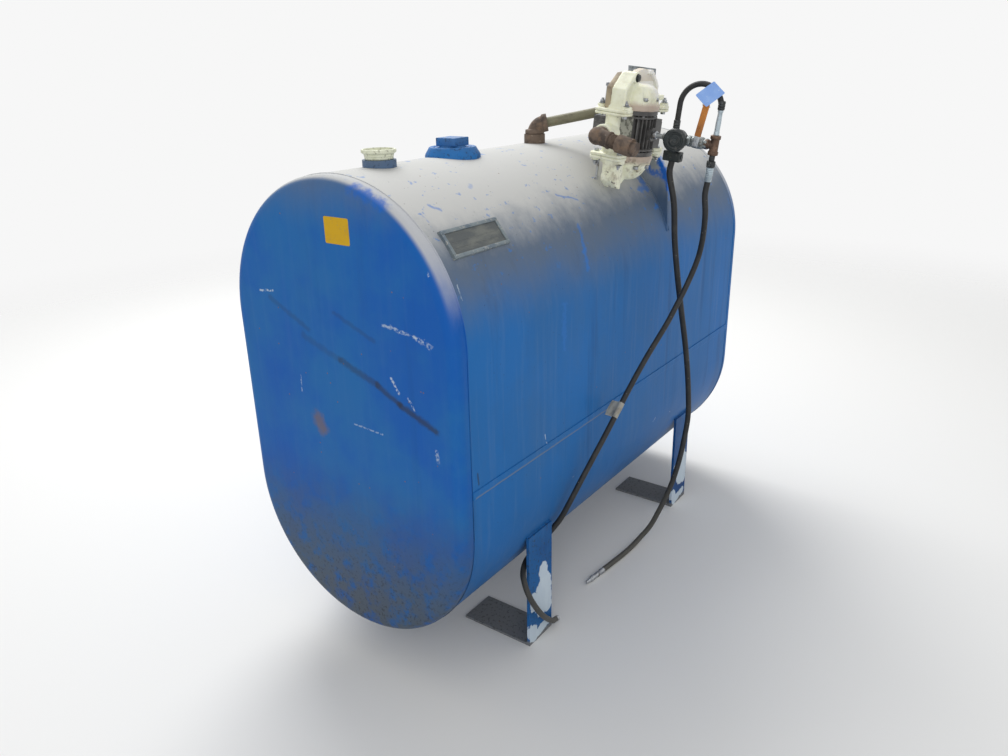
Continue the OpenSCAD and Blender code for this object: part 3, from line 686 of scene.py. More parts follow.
# Legs: bent strap, welded flat to the shell and to a foot plate. Old white paint shows
# where the blue has peeled, and the feet are dusty from the yard.
leg_y = middle - 0.328
peeled = (
    (0.012, 0.205, 0.022, 0.165, 0.03, 0.014),
    (0.01, 0.15, 0.008, 0.092, 0.046, 0.018),
    (0.036, 0.16, 0.036, 0.075, 0.026, 0.014),
    (-0.034, 0.142, -0.03, 0.11, 0.024, 0.016),
    (-0.044, 0.045, -0.03, 0.018, 0.028, 0.016),
    (-0.01, 0.02, 0.03, 0.028, 0.022, 0.014),
)
leg_marks = [((x + x0, leg_y, z0), (x + x1, leg_y, z1), width, ragged, white, 0.95)
    for x in (-0.435, 0.435) for x0, z0, x1, z1, width, ragged in peeled]
leg_paint = tank_paint("tank_paint_legs", (1.4, 1.5), (0.008, 0.02), leg_marks,
    under=(0.19, 0.19, 0.18), first=(0.006, 0.05, 0.2), film=0)
for name in ("near", "far"):
    for side, out in sides:
        dress(leg_paint, f"{name}_{side}_leg")
        low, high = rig.box(f"{name}_{side}_leg")
        beads = ("leg", 0.006, 0.3205, high.z + 0.0005), ("foot", 0.005, 0.3185, 0.0085)
        for joint, width, off, z in beads:
            run = [(low.x + 0.004 * k, middle + out * off, z) for k in range(27)]
            weld(f"{name}_{side}_{joint}_weld", run, width, leg_paint)


# Filler: a threaded steel coupling welded to the top, under a sun-bleached plastic cap
# with a waisted skirt and a raised rim round its middle.
def uneven_shine(shader, where, tone):
    """Steel that is duller in patches."""
    dull = between(patchy(where, 60, 0.4, 0.3), 0.3, 0.65)
    feed(shader, "Roughness", dull)
    return tone


bare_steel = mottled("fitting_steel_worn", (0.42, 0.75), (45, 0.45, 0.2),
    ((0.42, 0.44, 0.46), (0.24, 0.25, 0.27)), [(90, 0.56, 0.1, 0.7, (0.13, 0.08, 0.05))],
    (220, 0.0005, 0.3), uneven_shine)
dress(bare_steel, "air_nipple", "valve_body", "jumper_stem", "delivery_swivel", "delivery_end",
    "air_coupler", "manifold_bolts")

coupling_paint = tank_paint("tank_paint_coupling", (1.28, 1.36), (0, 0.01))
dress(coupling_paint, "fill_coupling")
cap_plastic = mottled("aged_cap_plastic", (0.55,), (40, 0.42, 0.25),
    ((0.74, 0.76, 0.6), (0.6, 0.62, 0.45)), [(110, 0.55, 0.1, 0.6, (0.2, 0.19, 0.14))],
    (150, 0.0006, 0.4))
bm = bmesh.new()
turned(bm, [(0, 0), (0.0295, 0), (0.0315, 0.0012), (0.0325, 0.0042), (0.0318, 0.006),
    (0.0328, 0.0075), (0.0335, 0.0098), (0.033, 0.0114), (0.0352, 0.0132), (0.0382, 0.0152),
    (0.0388, 0.017), (0.0384, 0.021), (0.0372, 0.0224), (0.035, 0.0226), (0.0338, 0.0214),
    (0.033, 0.015), (0.031, 0.014), (0, 0.0138)], steps=96)
for x, y, a in circle(24, 0.0381):
    block(bm, (0.0018, 0.0022, 0.0062), (x, y, 0.0186), (0, 0, a))
for a in (0, 90):
    block(bm, (0.06, 0.0028, 0.0062), (0, 0, 0.0162), (0, 0, a))
put("cap_moulding", bm, cap_plastic, placed((-0.583, middle, 1.243)), node="fill_cap")

# Bung: a low cone of cast steel welded to the top, with a square-headed screwed plug.
# Both are painted a fresher blue than the tank, under a thin veil of dust darkened with painted shade.
bung_paint = tank_paint("tank_paint_bung", (1.37, 1.46), (0, 0.01), first=(0.022, 0.175, 0.5))
bung_at = placed((-0.325, middle, 1.228))
bm = bmesh.new()
turned(bm, [(0.046, -0.0115), (0.069, -0.0115), (0.0688, 0.001), (0.0672, 0.005), (0.06, 0.0165),
    (0.0585, 0.0195), (0.0565, 0.021), (0.049, 0.0208), (0.0465, 0.019), (0.046, 0.015),
    (0.046, -0.0115)], steps=96)
put("bung_ring", bm, bung_paint, bung_at, node="bung_collar")
bm = bmesh.new()
turned(bm, [(0, 0.006), (0.0455, 0.006), (0.0455, 0.018), (0.044, 0.0195), (0.033, 0.0205),
    (0.031, 0.0235), (0, 0.0235)], steps=80)
half, head_z = 0.029, 0.0232
head = bmesh.ops.create_grid(bm, x_segments=8, y_segments=8, size=half,
    matrix=Matrix.Translation((0, 0, head_z)))["verts"]
for v in head:
    for axis, other in ((0, 1), (1, 0)):
        if abs(abs(v.co[axis]) - half) < 1e-6:
            v.co[axis] *= 0.965 + 0.035 * min(1, (abs(v.co[other]) / half) ** 2)


def raise_faces(bm, faces, by):
    """Extrudes faces along a vector."""
    made = bmesh.ops.extrude_face_region(bm, geom=faces)["geom"]
    bmesh.ops.translate(bm, verts=[g for g in made if isinstance(g, bmesh.types.BMVert)], vec=by)


raise_faces(bm, [f for f in bm.faces if set(head).issuperset(f.verts)], (0, 0, 0.0195))
soften(bm, 0.0016, 3, 50)
put("bung_screw", bm, bung_paint, bung_at, node="bung_plug")

# Data plate: a pressed aluminium frame riveted over a blank plate, on a flat backing
# welded to the shoulder. Dust has greyed it.
plate_metal = mottled("plate_metal_dusty", (0.6, 0.35), (24, 0.42, 0.25),
    ((0.21, 0.25, 0.27), (0.13, 0.17, 0.21)), [(120, 0.56, 0.08, 0.6, (0.45, 0.44, 0.4))],
    (130, 0.0006, 0.4))
dress(plate_metal, "nameplate")
face_metal = mottled("plate_metal_face", (0.55, 0.3), (30, 0.45, 0.2, (0.4, 1, 1)),
    ((0.1, 0.112, 0.115), (0.17, 0.18, 0.165)), grain=(400, 0.0004, 0.5))
slope = placed((-0.593, middle, top_axis), (-38, 0, 0)) @ placed((0, -0.346, 0), (90, 0, 0))
bm = bmesh.new()
for y in (-0.0285, 0.0285):
    block(bm, (0.19, 0.0085, 0.004), (0, y, 0.0012))
for x in (-0.0905, 0.0905):
    block(bm, (0.0085, 0.0487, 0.004), (x, 0, 0.0012))
soften(bm, 0.0012, 2)
for x in (-0.0905, 0, 0.0905):
    for y in (-0.0285, 0.0285):
        turned(bm, [(0, 0.0052), (0.0016, 0.005), (0.0026, 0.0042), (0.003, 0.003), (0, 0.003)],
            (x, y, 0), steps=20)
put("plate_frame", bm, plate_metal, slope)
bm = bmesh.new()
block(bm, (0.172, 0.048, 0.0008), (0, 0, 0.0002))
for y in (-0.011, 0.003):
    block(bm, (0.15, 0.0008, 0.0004), (0, y, 0.0007))
put("plate_face", bm, face_metal, slope)


# Suction line: a forged half coupling welded to the top, a rusty screwed elbow, a length of
# olive-painted pipe that runs up to the pump, and a cast drop elbow on the pump's rear port.
def melted(name, node, finish, cell=0.0016, form=None, place=None):
    """The CAD solid, or a form built for it, with its corners melted into a casting's fillets."""
    bm = bmesh.new()
    if form:
        form(bm)
        bmesh.ops.transform(bm, matrix=place, verts=bm.verts)
        bmesh.ops.recalc_face_normals(bm, faces=bm.faces)
    else:
        bm.from_mesh(nodes[node].data)
        bmesh.ops.remove_doubles(bm, verts=bm.verts, dist=1e-5)
    mesh = bpy.data.meshes.new(name + "_blank")
    bm.to_mesh(mesh)
    bm.free()
    blank = show(bpy.data.objects.new(name + "_blank", mesh))
    melt = blank.modifiers.new("melt", "REMESH")
    melt.mode, melt.voxel_size = "VOXEL", cell
    bm = bmesh.new()
    bm.from_mesh(blank.evaluated_get(bpy.context.evaluated_depsgraph_get()).to_mesh())
    bpy.data.objects.remove(blank)
    for _ in range(3):
        bmesh.ops.smooth_vert(bm, verts=bm.verts, factor=0.5, use_axis_x=True, use_axis_y=True,
            use_axis_z=True)
    put(name, bm, finish, sharp=80, node=node)


rusty_iron = mottled("pipe_iron_rusty", (0.82, 0.1), (26, 0.42, 0.22),
    ((0.165, 0.12, 0.09), (0.07, 0.053, 0.044)),
    [(48, 0.52, 0.14, 0.6, (0.22, 0.145, 0.095)), (90, 0.6, 0.08, 0.5, (0.3, 0.25, 0.2))],
    (110, 0.0014, 0.7, 6))
olive_pipe = mottled("pipe_paint_olive", (0.6,), (20, 0.45, 0.2, (1, 0.4, 1)),
    ((0.2, 0.19, 0.12), (0.12, 0.105, 0.07)), [(70, 0.58, 0.06, 0.7, (0.16, 0.08, 0.04))],
    (160, 0.0006, 0.4))
dress(rusty_iron, "suction_bushing")
dress(olive_pipe, "suction_pipe")
melted("suction_elbow_cast", "suction_elbow", rusty_iron)
melted("inlet_drop_cast", "inlet_drop", rusty_iron)

# Pump bracket: an upright steel plate cut to the tank's curve and welded on, with a flared foot. It is dusty like the
# top of the tank, darkened toward its top with dark grime and painted shade, and fresh blue was brushed along its
# foot.
bracket_marks = marks_at(0.225, (
    (-0.18, 1.235, -0.205, 1.165, 0.012, 0.02, fresh_blue, 0.9),
    (-0.205, 1.165, -0.236, 1.1, 0.016, 0.02, fresh_blue, 0.95),
    (-0.075, 1.23, -0.05, 1.2, 0.012, 0.02, fresh_blue, 0.9),
    (-0.2, 1.135, -0.06, 1.2, 0.012, 0.03, fresh_blue, 0.75),
    (-0.168, 1.3, -0.172, 1.26, 0.008, 0.01, soot, 0.5),
))
# Grime heights set high: the plate darkens toward its top, dark grime and painted shade.
bracket_paint = tank_paint("tank_paint_bracket", (1, 1.16), (1.5, 1.3), bracket_marks,
    under=(0.02, 0.022, 0.022), dust=(0.36, 0.39, 0.41))
dress(bracket_paint, "pump_bracket")
foot_r = tank_r + 0.0005
for name, x in (("near", 0.2235), ("far", 0.2345)):
    foot = [(x, y, top_axis + math.sqrt(foot_r ** 2 - (y - middle) ** 2))
        for y in (-0.234 + 0.003 * k for k in range(64))]
    weld(f"bracket_{name}_weld", foot, 0.007, bracket_paint)

# Pump: an air-driven double diaphragm pump on its side. Two fluid caps moulded in cream plastic
# are bolted to a ribbed black air section, and their arms meet in two manifold tees.
pump = placed((0.07, -0.18513, 1.26569), (7, 0, 0))
cream, shader, where = new_finish("cream_plastic_dirty", 0.48)
from_heart = vectors("SUBTRACT", where, pump.to_translation())
across, outward = one_axis(from_heart, "X"), one_axis(from_heart, "Y")
along = vectors("DOT_PRODUCT", from_heart, pump.to_3x3() @ Vector((0, 0, 1)))
wave = noise(where, 40, 3)
tone = layer(patchy(where, 30, 0.42, 0.3), (0.87, 0.88, 0.71), (0.79, 0.79, 0.59))
# The cream turns brown where the round domes meet their rims.
level_in = maths("MULTIPLY_ADD", wave, 0.018, maths("ABSOLUTE", along))
round_part = ease(maths("ABSOLUTE", across), 0.08, 0.066)
rim_darkening = times(ease(level_in, 0.092, 0.076), round_part, 0.75)
tone = layer(rim_darkening, tone, (0.42, 0.29, 0.25))
# The lower cap is dirtier and more stained than the upper one.
under = ease(along, -0.03, -0.1)
dirt = times(patchy(where, 34, 0.48, 0.16), between(under, 0.25, 0.85), 0.7)
tone = layer(dirt, tone, (0.34, 0.29, 0.19))
stain = times(patchy(where, 48, 0.58, 0.08), between(under, 0.06, 0.85))
tone = layer(stain, tone, (0.11, 0.08, 0.055))
specked = times(speckled(where, 140, 0.25, 0.05), 0.6)
tone = layer(specked, tone, (0.06, 0.05, 0.04))
# The top of the dome is painted whiter as a painted highlight, and the rear hump behind it is tan with dirt and
# painted shade.
dome_highlight = times(ease(across, -0.035, 0.02), ease(along, 0.085, 0.095))
tone = layer(dome_highlight, tone, (0.86, 0.85, 0.8))
hump_dirt_and_shade = times(ease(outward, -0.018, -0.008), ease(along, 0.1195, 0.1225),
    ease(across, -0.05, -0.03), 0.75)
tone = layer(hump_dirt_and_shade, tone, layer(wave, (0.3, 0.22, 0.15), (0.7, 0.6, 0.44)))
feed(shader, "Base Color", tone)
shader.inputs["Subsurface Weight"].default_value = 0.12
shader.inputs["Subsurface Radius"].default_value = (0.004, 0.0035, 0.002)
roughen(shader, noise(where, 180, 3), 0.0005, 0.35)


def wall(bm, outline, y0, y1, sign=1):
    """A flat wall between two depths, with its outline in the XZ plane."""
    face = bm.faces.new([bm.verts.new((x, y0, sign * z)) for x, z in outline])
    raise_faces(bm, [face], (0, y1 - y0, 0))


def base(sign, z, length):
    """Where a bar from z outward starts, on the upper cap or mirrored on the lower one."""
    return z if sign > 0 else -z - length


arm_x, lobes = 0.104, 8


def fluid_cap(sign, dome_line, arms):
    """Rim, lobed dome with bolt bosses, two channel arms, joint flanges and a lug."""
    def form(bm):
        def stub(radius, length, x, y, z, steps=48):
            return bar(bm, radius, length, (x, y, base(sign, z, length)), steps=steps)

        stub(0.066, 0.0155, 0, 0, 0.056, 96)
        crown = dome_line[-1][1]
        dome = turned(bm, [(0, sign * 0.066)] + [(r, sign * z) for r, z in dome_line]
            + [(0, sign * crown)], steps=128)
        for v in dome:
            angle = lobes * (math.atan2(v.co.y, v.co.x) - math.radians(10))
            lobe = max(0, math.cos(angle)) ** 1.4
            shrink = 1 - 0.13 * lobe * min(1, max(0, (crown - abs(v.co.z)) / 0.02))
            v.co.x, v.co.y = v.co.x * shrink, v.co.y * shrink
        for x, y, _ in circle(lobes, 0.057, 10):
            stub(0.0082, 0.02, x, y, 0.06)
        for side, walls in zip((-1, 1), arms):
            for outline, y0, y1 in walls:
                wall(bm, [(-side * x, z) for x, z in outline], *sorted((-side * y0, -side * y1)),
                    sign)
            x = side * arm_x
            for v in stub(0.047, 0.0075, x, 0, 0.0543, 96):
                v.co.x = x + max(-0.027, min(0.027, v.co.x - x))
            for y in (-0.036, 0.036):
                stub(0.0115, 0.01, x, y, 0.06)
            stub(0.019, 0.012, x, 0, 0.058)
        block(bm, (0.061, 0.07, 0.014), (0.1242, 0.025, sign * 0.078))
    return form


# The outlines of the arms' walls: the skin and recessed web of a channel, the boss of its
# screw and the rear hump on the upper cap, and their lower counterparts.
boss_x, boss_z = -0.076, 0.1365
skin = [(-0.123, 0.06), (-0.123, 0.11), (-0.088, 0.143), (-0.078, 0.149), (-0.062, 0.149),
    (-0.056, 0.14), (-0.078, 0.137), (-0.115, 0.104), (-0.115, 0.06)]
web = [(-0.119, 0.06), (-0.119, 0.107), (-0.084, 0.141), (-0.062, 0.144), (-0.03, 0.13),
    (-0.015, 0.1), (-0.052, 0.06)]
boss = [(boss_x + 0.0138 * math.cos(0.26 * k), boss_z + 0.0138 * math.sin(0.26 * k))
    for k in range(24)]
hump = [(-0.122, 0.06), (-0.122, 0.1), (-0.112, 0.122), (-0.094, 0.138), (-0.072, 0.148),
    (-0.045, 0.152), (-0.018, 0.148), (0.002, 0.136), (0.004, 0.11), (-0.03, 0.1), (-0.052, 0.06)]
low_post = [(-0.123, 0.06), (-0.123, 0.096), (-0.126, 0.104), (-0.124, 0.114), (-0.112, 0.124),
    (-0.098, 0.133), (-0.084, 0.137), (-0.08, 0.06)]
low_web = [(-0.119, 0.06), (-0.119, 0.092), (-0.072, 0.133), (-0.04, 0.13), (-0.015, 0.11),
    (-0.052, 0.06)]
short = [(-0.122, 0.06), (-0.122, 0.092), (-0.09, 0.118), (-0.02, 0.118), (-0.015, 0.1),
    (-0.052, 0.06)]
top_dome = ((0.063, 0.066), (0.0632, 0.076), (0.0622, 0.085), (0.0602, 0.094), (0.0565, 0.102),
    (0.0505, 0.109), (0.042, 0.1145), (0.03, 0.118), (0.012, 0.1193))
low_dome = ((0.063, 0.066), (0.061, 0.076), (0.0575, 0.086), (0.053, 0.095), (0.048, 0.103),
    (0.042, 0.111), (0.034, 0.118), (0.023, 0.123), (0.01, 0.125))
skin_wall, web_wall = (skin, -0.036, 0.004), (web, -0.017, -0.001)
top_cap = fluid_cap(1, top_dome, ((skin_wall, web_wall, (boss, -0.038, -0.001)),
    (skin_wall, (hump, -0.024, -0.004))))
low_cap = fluid_cap(-1, low_dome, (((low_post, -0.036, 0.004), (low_web, -0.017, -0.001)),
    ((short, -0.02, 0.004),)))
melted("upper_cap", "upper_chamber", cream, 0.0018, top_cap, pump)
melted("lower_cap", "lower_chamber", cream, 0.0018, low_cap, pump)
tan = mottled("cream_plastic_tan", (0.7,), (40, 0.45, 0.2),
    ((0.4, 0.33, 0.22), (0.24, 0.19, 0.13)), grain=(120, 0.0006, 0.4))
bm = bmesh.new()
wall(bm, [(-0.121, 0.062), (-0.121, 0.112), (-0.078, 0.144), (-0.02, 0.147), (-0.02, 0.134),
    (-0.068, 0.131), (-0.106, 0.102), (-0.106, 0.062)], 0.004, 0.02)
soften(bm, 0.002, 3)
put("cap_strap", bm, tan, pump)
melted("front_manifold", "front_tee", cream, 0.0018)
melted("rear_manifold", "rear_tee", cream, 0.0018)


def hexagon(bm, radius, length, at=origin, turn=origin):
    """A nut or bolt head."""
    bar(bm, radius, length, at, turn, steps=6)


# Each row is a bar's radius, length, start and number of sides.
rim_bolt = ((0.0074, 0.0075, 0.0812, 6), (0.0062, 0.006, 0.039, 6), (0.0026, 0.012, 0.034, 16))
joint_bolt = ((0.0098, 0.0012, 0.0712, 32), (0.0068, 0.006, 0.0724, 6), (0.0068, 0.006, 0.041, 6),
    (0.0036, 0.0085, 0.0745, 20))
tie_bolt = ((0.003, 0.06, 0.06, 20), (0.0062, 0.007, 0.112, 6))
bolts = [(x, y, rim_bolt) for x, y, _ in circle(lobes, 0.0565, 10)]
bolts += [(x, y, joint_bolt) for x, y in ((-0.114, -0.036), (-arm_x, 0.036), (arm_x, -0.036),
    (arm_x, 0.036))]
bolts += [(x, 0.0265, tie_bolt) for x in (-arm_x, arm_x)]
bm = bmesh.new()
for sign in (-1, 1):
    for x, y, rows in bolts:
        for radius, length, z, steps in rows:
            bar(bm, radius, length, (x, y, base(sign, z, length)), steps=steps)
soften(bm, 0.0004, 1)
put("pump_bolts", bm, bare_steel, pump)


def moulding(name, clean, rubbed):
    """Worn black plastic with pale dust in its hollows."""
    return mottled(name, (0.5,), (30, 0.45, 0.25), (clean, rubbed),
        [(85, 0.56, 0.1, 0.3, (0.15, 0.14, 0.13))], (170, 0.0006, 0.4))


dusty_black = moulding("black_plastic_dusty", (0.066, 0.064, 0.063), (0.135, 0.13, 0.126))
black = moulding("black_plastic_worn", (0.008, 0.013, 0.014), (0.022, 0.031, 0.033))
dress(dusty_black, "air_section", "air_valve")
dress(black, "hose_block")
bm = bmesh.new()
for sign in (-1, 1):
    turned(bm, [(0.0525, 0), (0.064, 0), (0.0645, 0.0008), (0.0645, 0.0038), (0.0632, 0.005),
        (0.0525, 0.005)], (0, 0, base(sign, 0.0375, 0.005)))
for z in (-0.026, -0.013, 0, 0.013, 0.026):
    block(bm, (0.0025, 0.04, 0.004), (-0.0308, 0.074, z))
    block(bm, (0.056, 0.0025, 0.004), (0, 0.0965, z))
for x in (-0.022, 0.022):
    for z in (-0.024, 0.024):
        bar(bm, 0.0045, 0.003, (x, 0.0985, z), (90, 0, 0), steps=24)
block(bm, (0.004, 0.034, 0.058), (0.0425, -0.049, 0))
for k in range(-3, 4):
    block(bm, (0.03, 0.0018, 0.0035), (0.025, -0.0652, 0.01 * k))
soften(bm, 0.0005, 1)
put("air_section_trim", bm, dusty_black, pump)
bm = bmesh.new()
bar(bm, 0.01, 0.0022, (boss_x, -0.0375, boss_z), (90, 0, 0))
bar(bm, 0.0084, 0.005, (boss_x, -0.0385, boss_z), (90, 0, 0))
soften(bm, 0.0006, 2)
put("arm_screws", bm, black, pump)

side_plate, shader, where = new_finish("plate_metal_streaked", 0.5, 0.4)
streaky = times(patchy(where, 95, 0.47, 0.05, (1, 1, 0.7)), 0.75)
feed(shader, "Base Color", layer(streaky, (0.44, 0.44, 0.4), (0.1, 0.1, 0.09)))
dress(side_plate, "pump_plate")
bm = bmesh.new()
for y in (-0.0285, 0.0025):
    for z in (-0.0165, 0.0405):
        turned(bm, [(0, 0.0018), (0.0014, 0.0016), (0.0022, 0.001), (0.0026, 0), (0, 0)],
            (-0.057, y, z), (0, -90, 0), steps=20)
block(bm, (0.0012, 0.018, 0.061), (-0.057, 0.0145, 0.012))
put("plate_pins", bm, side_plate, pump)

# Discharge: a rusty elbow screwed into the front port, with a nipple and a coupling that
# end the run in the open.
elbow_at, run_turn = (-0.176, 0, 0), (98, 0, 0)


def elbow(bm):
    """A round-backed elbow with a beaded collar on each leg."""
    bmesh.ops.create_uvsphere(bm, u_segments=48, v_segments=32, radius=0.0218,
        matrix=Matrix.Translation(elbow_at))
    bar(bm, 0.0195, 0.041, elbow_at, (0, 90, 0))
    bar(bm, 0.0215, 0.006, (-0.16, 0, 0), (0, 90, 0))
    bar(bm, 0.0195, 0.036, elbow_at, run_turn)
    bar(bm, 0.0168, 0.062, elbow_at, run_turn)


def thread(bm, count, root, crest, start, pitch, width=0.0012, steps=40):
    """Raised rings, as the turns of a thread show."""
    for k in range(count):
        turned(bm, [(root, 0), (crest, width / 2), (root, width)], (0, 0, start + pitch * k),
            steps=steps)


melted("discharge_elbow_cast", "discharge_elbow", rusty_iron, 0.0016, elbow, pump)
dress(rusty_iron, "discharge_coupling")
bm = bmesh.new()
for z, r in ((0.0365, 0.0212), (0.0625, 0.022), (0.0965, 0.022)):
    shoulder = 0.0205 if z < 0.05 else 0.0212
    turned(bm, [(0.016, 0), (shoulder, 0.0004), (r, 0.0016), (r, 0.0042), (shoulder, 0.0054),
        (0.016, 0.0058)], (0, 0, z - 0.003))
thread(bm, 9, 0.0168, 0.0178, 0.0445, 0.0018, steps=64)
put("discharge_bands", bm, rusty_iron, pump @ placed(elbow_at, run_turn))

# Air line: a steel nipple, a cast pressure regulator whose ringed knob faces the near end,
# and a hose block moulded in black plastic under it.
line = pump @ placed(origin, (90, 0, 0))
bm = bmesh.new()
hexagon(bm, 0.0108, 0.0115, (0, 0, 0.0663))
bar(bm, 0.0066, 0.03, (0, 0, 0.0765))
thread(bm, 9, 0.0062, 0.007, 0.079, 0.0017)
hexagon(bm, 0.0105, 0.009, (0, 0, 0.0965))
soften(bm, 0.0005, 1, 50)
put("nipple_screwed", bm, bare_steel, line, node="air_nipple")

dark_metal = mottled("regulator_metal_dark", (0.45, 0.2), (40, 0.46, 0.2),
    ((0.018, 0.021, 0.022), (0.05, 0.055, 0.055)), [(110, 0.6, 0.06, 0.6, (0.18, 0.18, 0.17))],
    (140, 0.0005, 0.35))
centre = pump @ placed((0, -0.133, 0))
bm = bmesh.new()
turned(bm, [(0, 0.025), (0.012, 0.025), (0.013, 0.0235), (0.0195, 0.0225), (0.0215, 0.0195),
    (0.0215, 0.006), (0.0238, 0.004), (0.024, 0.002), (0.024, -0.007), (0.0228, -0.009),
    (0.0205, -0.01), (0.0195, -0.0168), (0, -0.0168)], turn=(0, 90, 0))
for sign in (1, -1):
    bar(bm, 0.0128, 0.0225, turn=(90 * sign, 0, 0), end=0.0118)
    hexagon(bm, 0.0148, 0.0085, (0, -0.0183 * sign, 0), (90 * sign, 0, 0))
bar(bm, 0.0078, 0.02, (0, 0, -0.031))
hexagon(bm, 0.0108, 0.007, (0, 0, -0.0308))
for y, z, _ in circle(6, 0.0205, 15):
    bar(bm, 0.0022, 0.003, (-0.0085, y, z), (0, -90, 0), steps=16)
soften(bm, 0.0006, 2, 50)
put("regulator_casting", bm, dark_metal, centre, node="regulator_body")
bm = bmesh.new()
turned(bm, [(0, 0), (0.0185, 0), (0.0205, 0.003), (0.0262, 0.0048), (0.0282, 0.0066),
    (0.0284, 0.02), (0.027, 0.0232), (0.0232, 0.025), (0.0212, 0.0248), (0.02, 0.0226),
    (0.016, 0.0222), (0.015, 0.024), (0.0128, 0.0246), (0.0118, 0.0226), (0.0066, 0.0224),
    (0.006, 0.0248), (0, 0.0252)], steps=96)
for x, y, a in circle(30, 0.0281):
    block(bm, (0.0016, 0.0028, 0.0125), (x, y, 0.0133), (0, 0, a))
knob_at = centre @ placed(origin, (0, 0, 16)) @ placed((-0.0173, 0, 0), (0, -90, 0))
put("regulator_grip", bm, black, knob_at, node="regulator_knob")
bm = bmesh.new()
block(bm, (0.0238, 0.0468, 0.0248), (0, 0.0025, -0.0435))
soften(bm, 0.0026, 3)
hexagon(bm, 0.0095, 0.006, (0, 0.003, -0.056))
for y in (-0.0135, 0.0185):
    bar(bm, 0.0042, 0.0022, (-0.0112, y, -0.0435), (0, -90, 0), steps=24)
hexagon(bm, 0.0062, 0.0015, (0, -0.0215, -0.0435), (90, 0, 0))
put("hose_block_body", bm, black, centre, node="hose_block")

# Ball valve: galvanised body on the line, and a dip-coated lever on its side with a
# blank plastic tag tied to the tip.
zinc = mottled("fitting_steel_zinc", (0.45, 0.55), (50, 0.45, 0.2),
    ((0.3, 0.33, 0.33), (0.17, 0.19, 0.19)), [(100, 0.56, 0.08, 0.7, (0.1, 0.08, 0.06))],
    (190, 0.0005, 0.35))
stem_z = 0.194
bm = bmesh.new()
bar(bm, 0.0102, 0.061, (0, 0, 0.1605))
turned(bm, [(0.009, 0.1745), (0.0128, 0.1755), (0.0146, 0.181), (0.015, 0.188), (0.015, 0.2),
    (0.0142, 0.205), (0.0128, 0.2075), (0.009, 0.2078)])
hexagon(bm, 0.0138, 0.01, (0, 0, 0.1635))
hexagon(bm, 0.0135, 0.009, (0, 0, 0.2085))
thread(bm, 6, 0.01, 0.0108, 0.1643, 0.0015)
bar(bm, 0.0082, 0.0165, (0, 0, stem_z), (0, -90, 0))
hexagon(bm, 0.0078, 0.004, (-0.0163, 0, stem_z), (0, -90, 0))
soften(bm, 0.0007, 2, 50)
put("ball_valve", bm, zinc, line, node="valve_body")


def dark_root(shader, where, tone):
    """The lever's coat is browner toward its hub."""
    root = ease(one_axis(where, "Z"), 1.335, 1.265)
    return layer(times(root, 0.6), tone, (0.2, 0.085, 0.035))


lever_place = pump @ placed((0, -stem_z, 0), (7, 0, 0))
lever_coat = mottled("lever_paint_orange", (0.42,), (45, 0.45, 0.25),
    ((0.66, 0.235, 0.03), (0.5, 0.17, 0.025)), [(100, 0.57, 0.08, 0.75, (0.16, 0.08, 0.04))],
    (120, 0.0005, 0.3), dark_root)
bm = bmesh.new()
block(bm, (0.0038, 0.0165, 0.083), (-0.0222, 0, 0.0585))
tip = [e for e in bm.edges if all(abs(v.co.z - 0.1) < 1e-5 for v in e.verts)
    and abs(e.verts[0].co.y - e.verts[1].co.y) < 1e-6]
bevel(bm, tip, 0.006, 5)
soften(bm, 0.0012, 3)
put("lever_sleeve", bm, lever_coat, lever_place, "lever", node="valve_lever")
bm = bmesh.new()
block(bm, (0.0028, 0.015, 0.028), (-0.0224, 0, 0.0055))
soften(bm, 0.0008, 2)
bar(bm, 0.0066, 0.0012, (-0.0238, 0, 0), (0, -90, 0))
hexagon(bm, 0.0062, 0.003, (-0.0238, 0, 0), (0, -90, 0))
put("lever_root", bm, bare_steel, lever_place, "lever", slot="lever_paint")

tag_sheet = mottled("tag_plastic_blue", (0.42,), (18, 0.45, 0.3),
    ((0.235, 0.41, 0.82), (0.33, 0.52, 0.9)), [(90, 0.62, 0.05, 0.4, (0.75, 0.8, 0.85))])
tag_place = placed((0.0385, -0.4114, 1.358), (232.7, 33.1, 32.9))
bm = bmesh.new()
card(bm, 0.0408, 0.0578, 0.0032, 4, (12, 12), 1)
for v in bm.verts:
    v.co.x = -0.0004 + 0.0008 * math.sin(70 * v.co.z) + 0.0006 * math.cos(90 * v.co.y)
bmesh.ops.solidify(bm, geom=bm.faces[:], thickness=0.0006)
put("tag_card", bm, tag_sheet, tag_place, "lever", node="lever_tag")
hole = lever_place.inverted() @ tag_place @ Vector((0, 0.016, 0.012))
tie = [lever_place @ Vector(p) for p in (
    hole, (-0.0262, 0.0085, 0.094), (-0.0222, 0.01, 0.0905), (-0.019, 0.006, 0.09),
    (-0.0188, -0.005, 0.09), (-0.0222, -0.01, 0.0905), (-0.0262, -0.0085, 0.094),
)]
put_curve("tag_tie", tie, 0.0012, bare_steel, closed=True, body="lever")

# Brass tee at the end of the line, with a zinc stem above it, a short black hose that loops
# back to the regulator, and a crimped swivel below it for the delivery hose.
brass = mottled("tee_brass_tarnished", (0.5, 0.7), (45, 0.44, 0.22),
    ((0.145, 0.09, 0.062), (0.075, 0.05, 0.038)), [(75, 0.58, 0.07, 0.6, (0.36, 0.26, 0.17))],
    (150, 0.0007, 0.4))
tee_y = -0.235
tee = pump @ placed((0, tee_y, 0))
bm = bmesh.new()
turned(bm, [(0, -0.0238), (0.0115, -0.0238), (0.0129, -0.023), (0.013, -0.016), (0.0122, -0.0148),
    (0.0108, -0.0138), (0.0106, 0.0138), (0.0122, 0.0148), (0.013, 0.016), (0.0129, 0.023),
    (0.0115, 0.0238), (0, 0.0238)])
turned(bm, [(0, 0), (0.0105, 0), (0.0105, 0.014), (0.0118, 0.015), (0.012, 0.0155),
    (0.012, 0.0243), (0.0108, 0.025), (0, 0.025)], turn=(-90, 0, 0))
soften(bm, 0.0004, 1, 50)
put("tee_casting", bm, brass, tee, node="brass_tee")

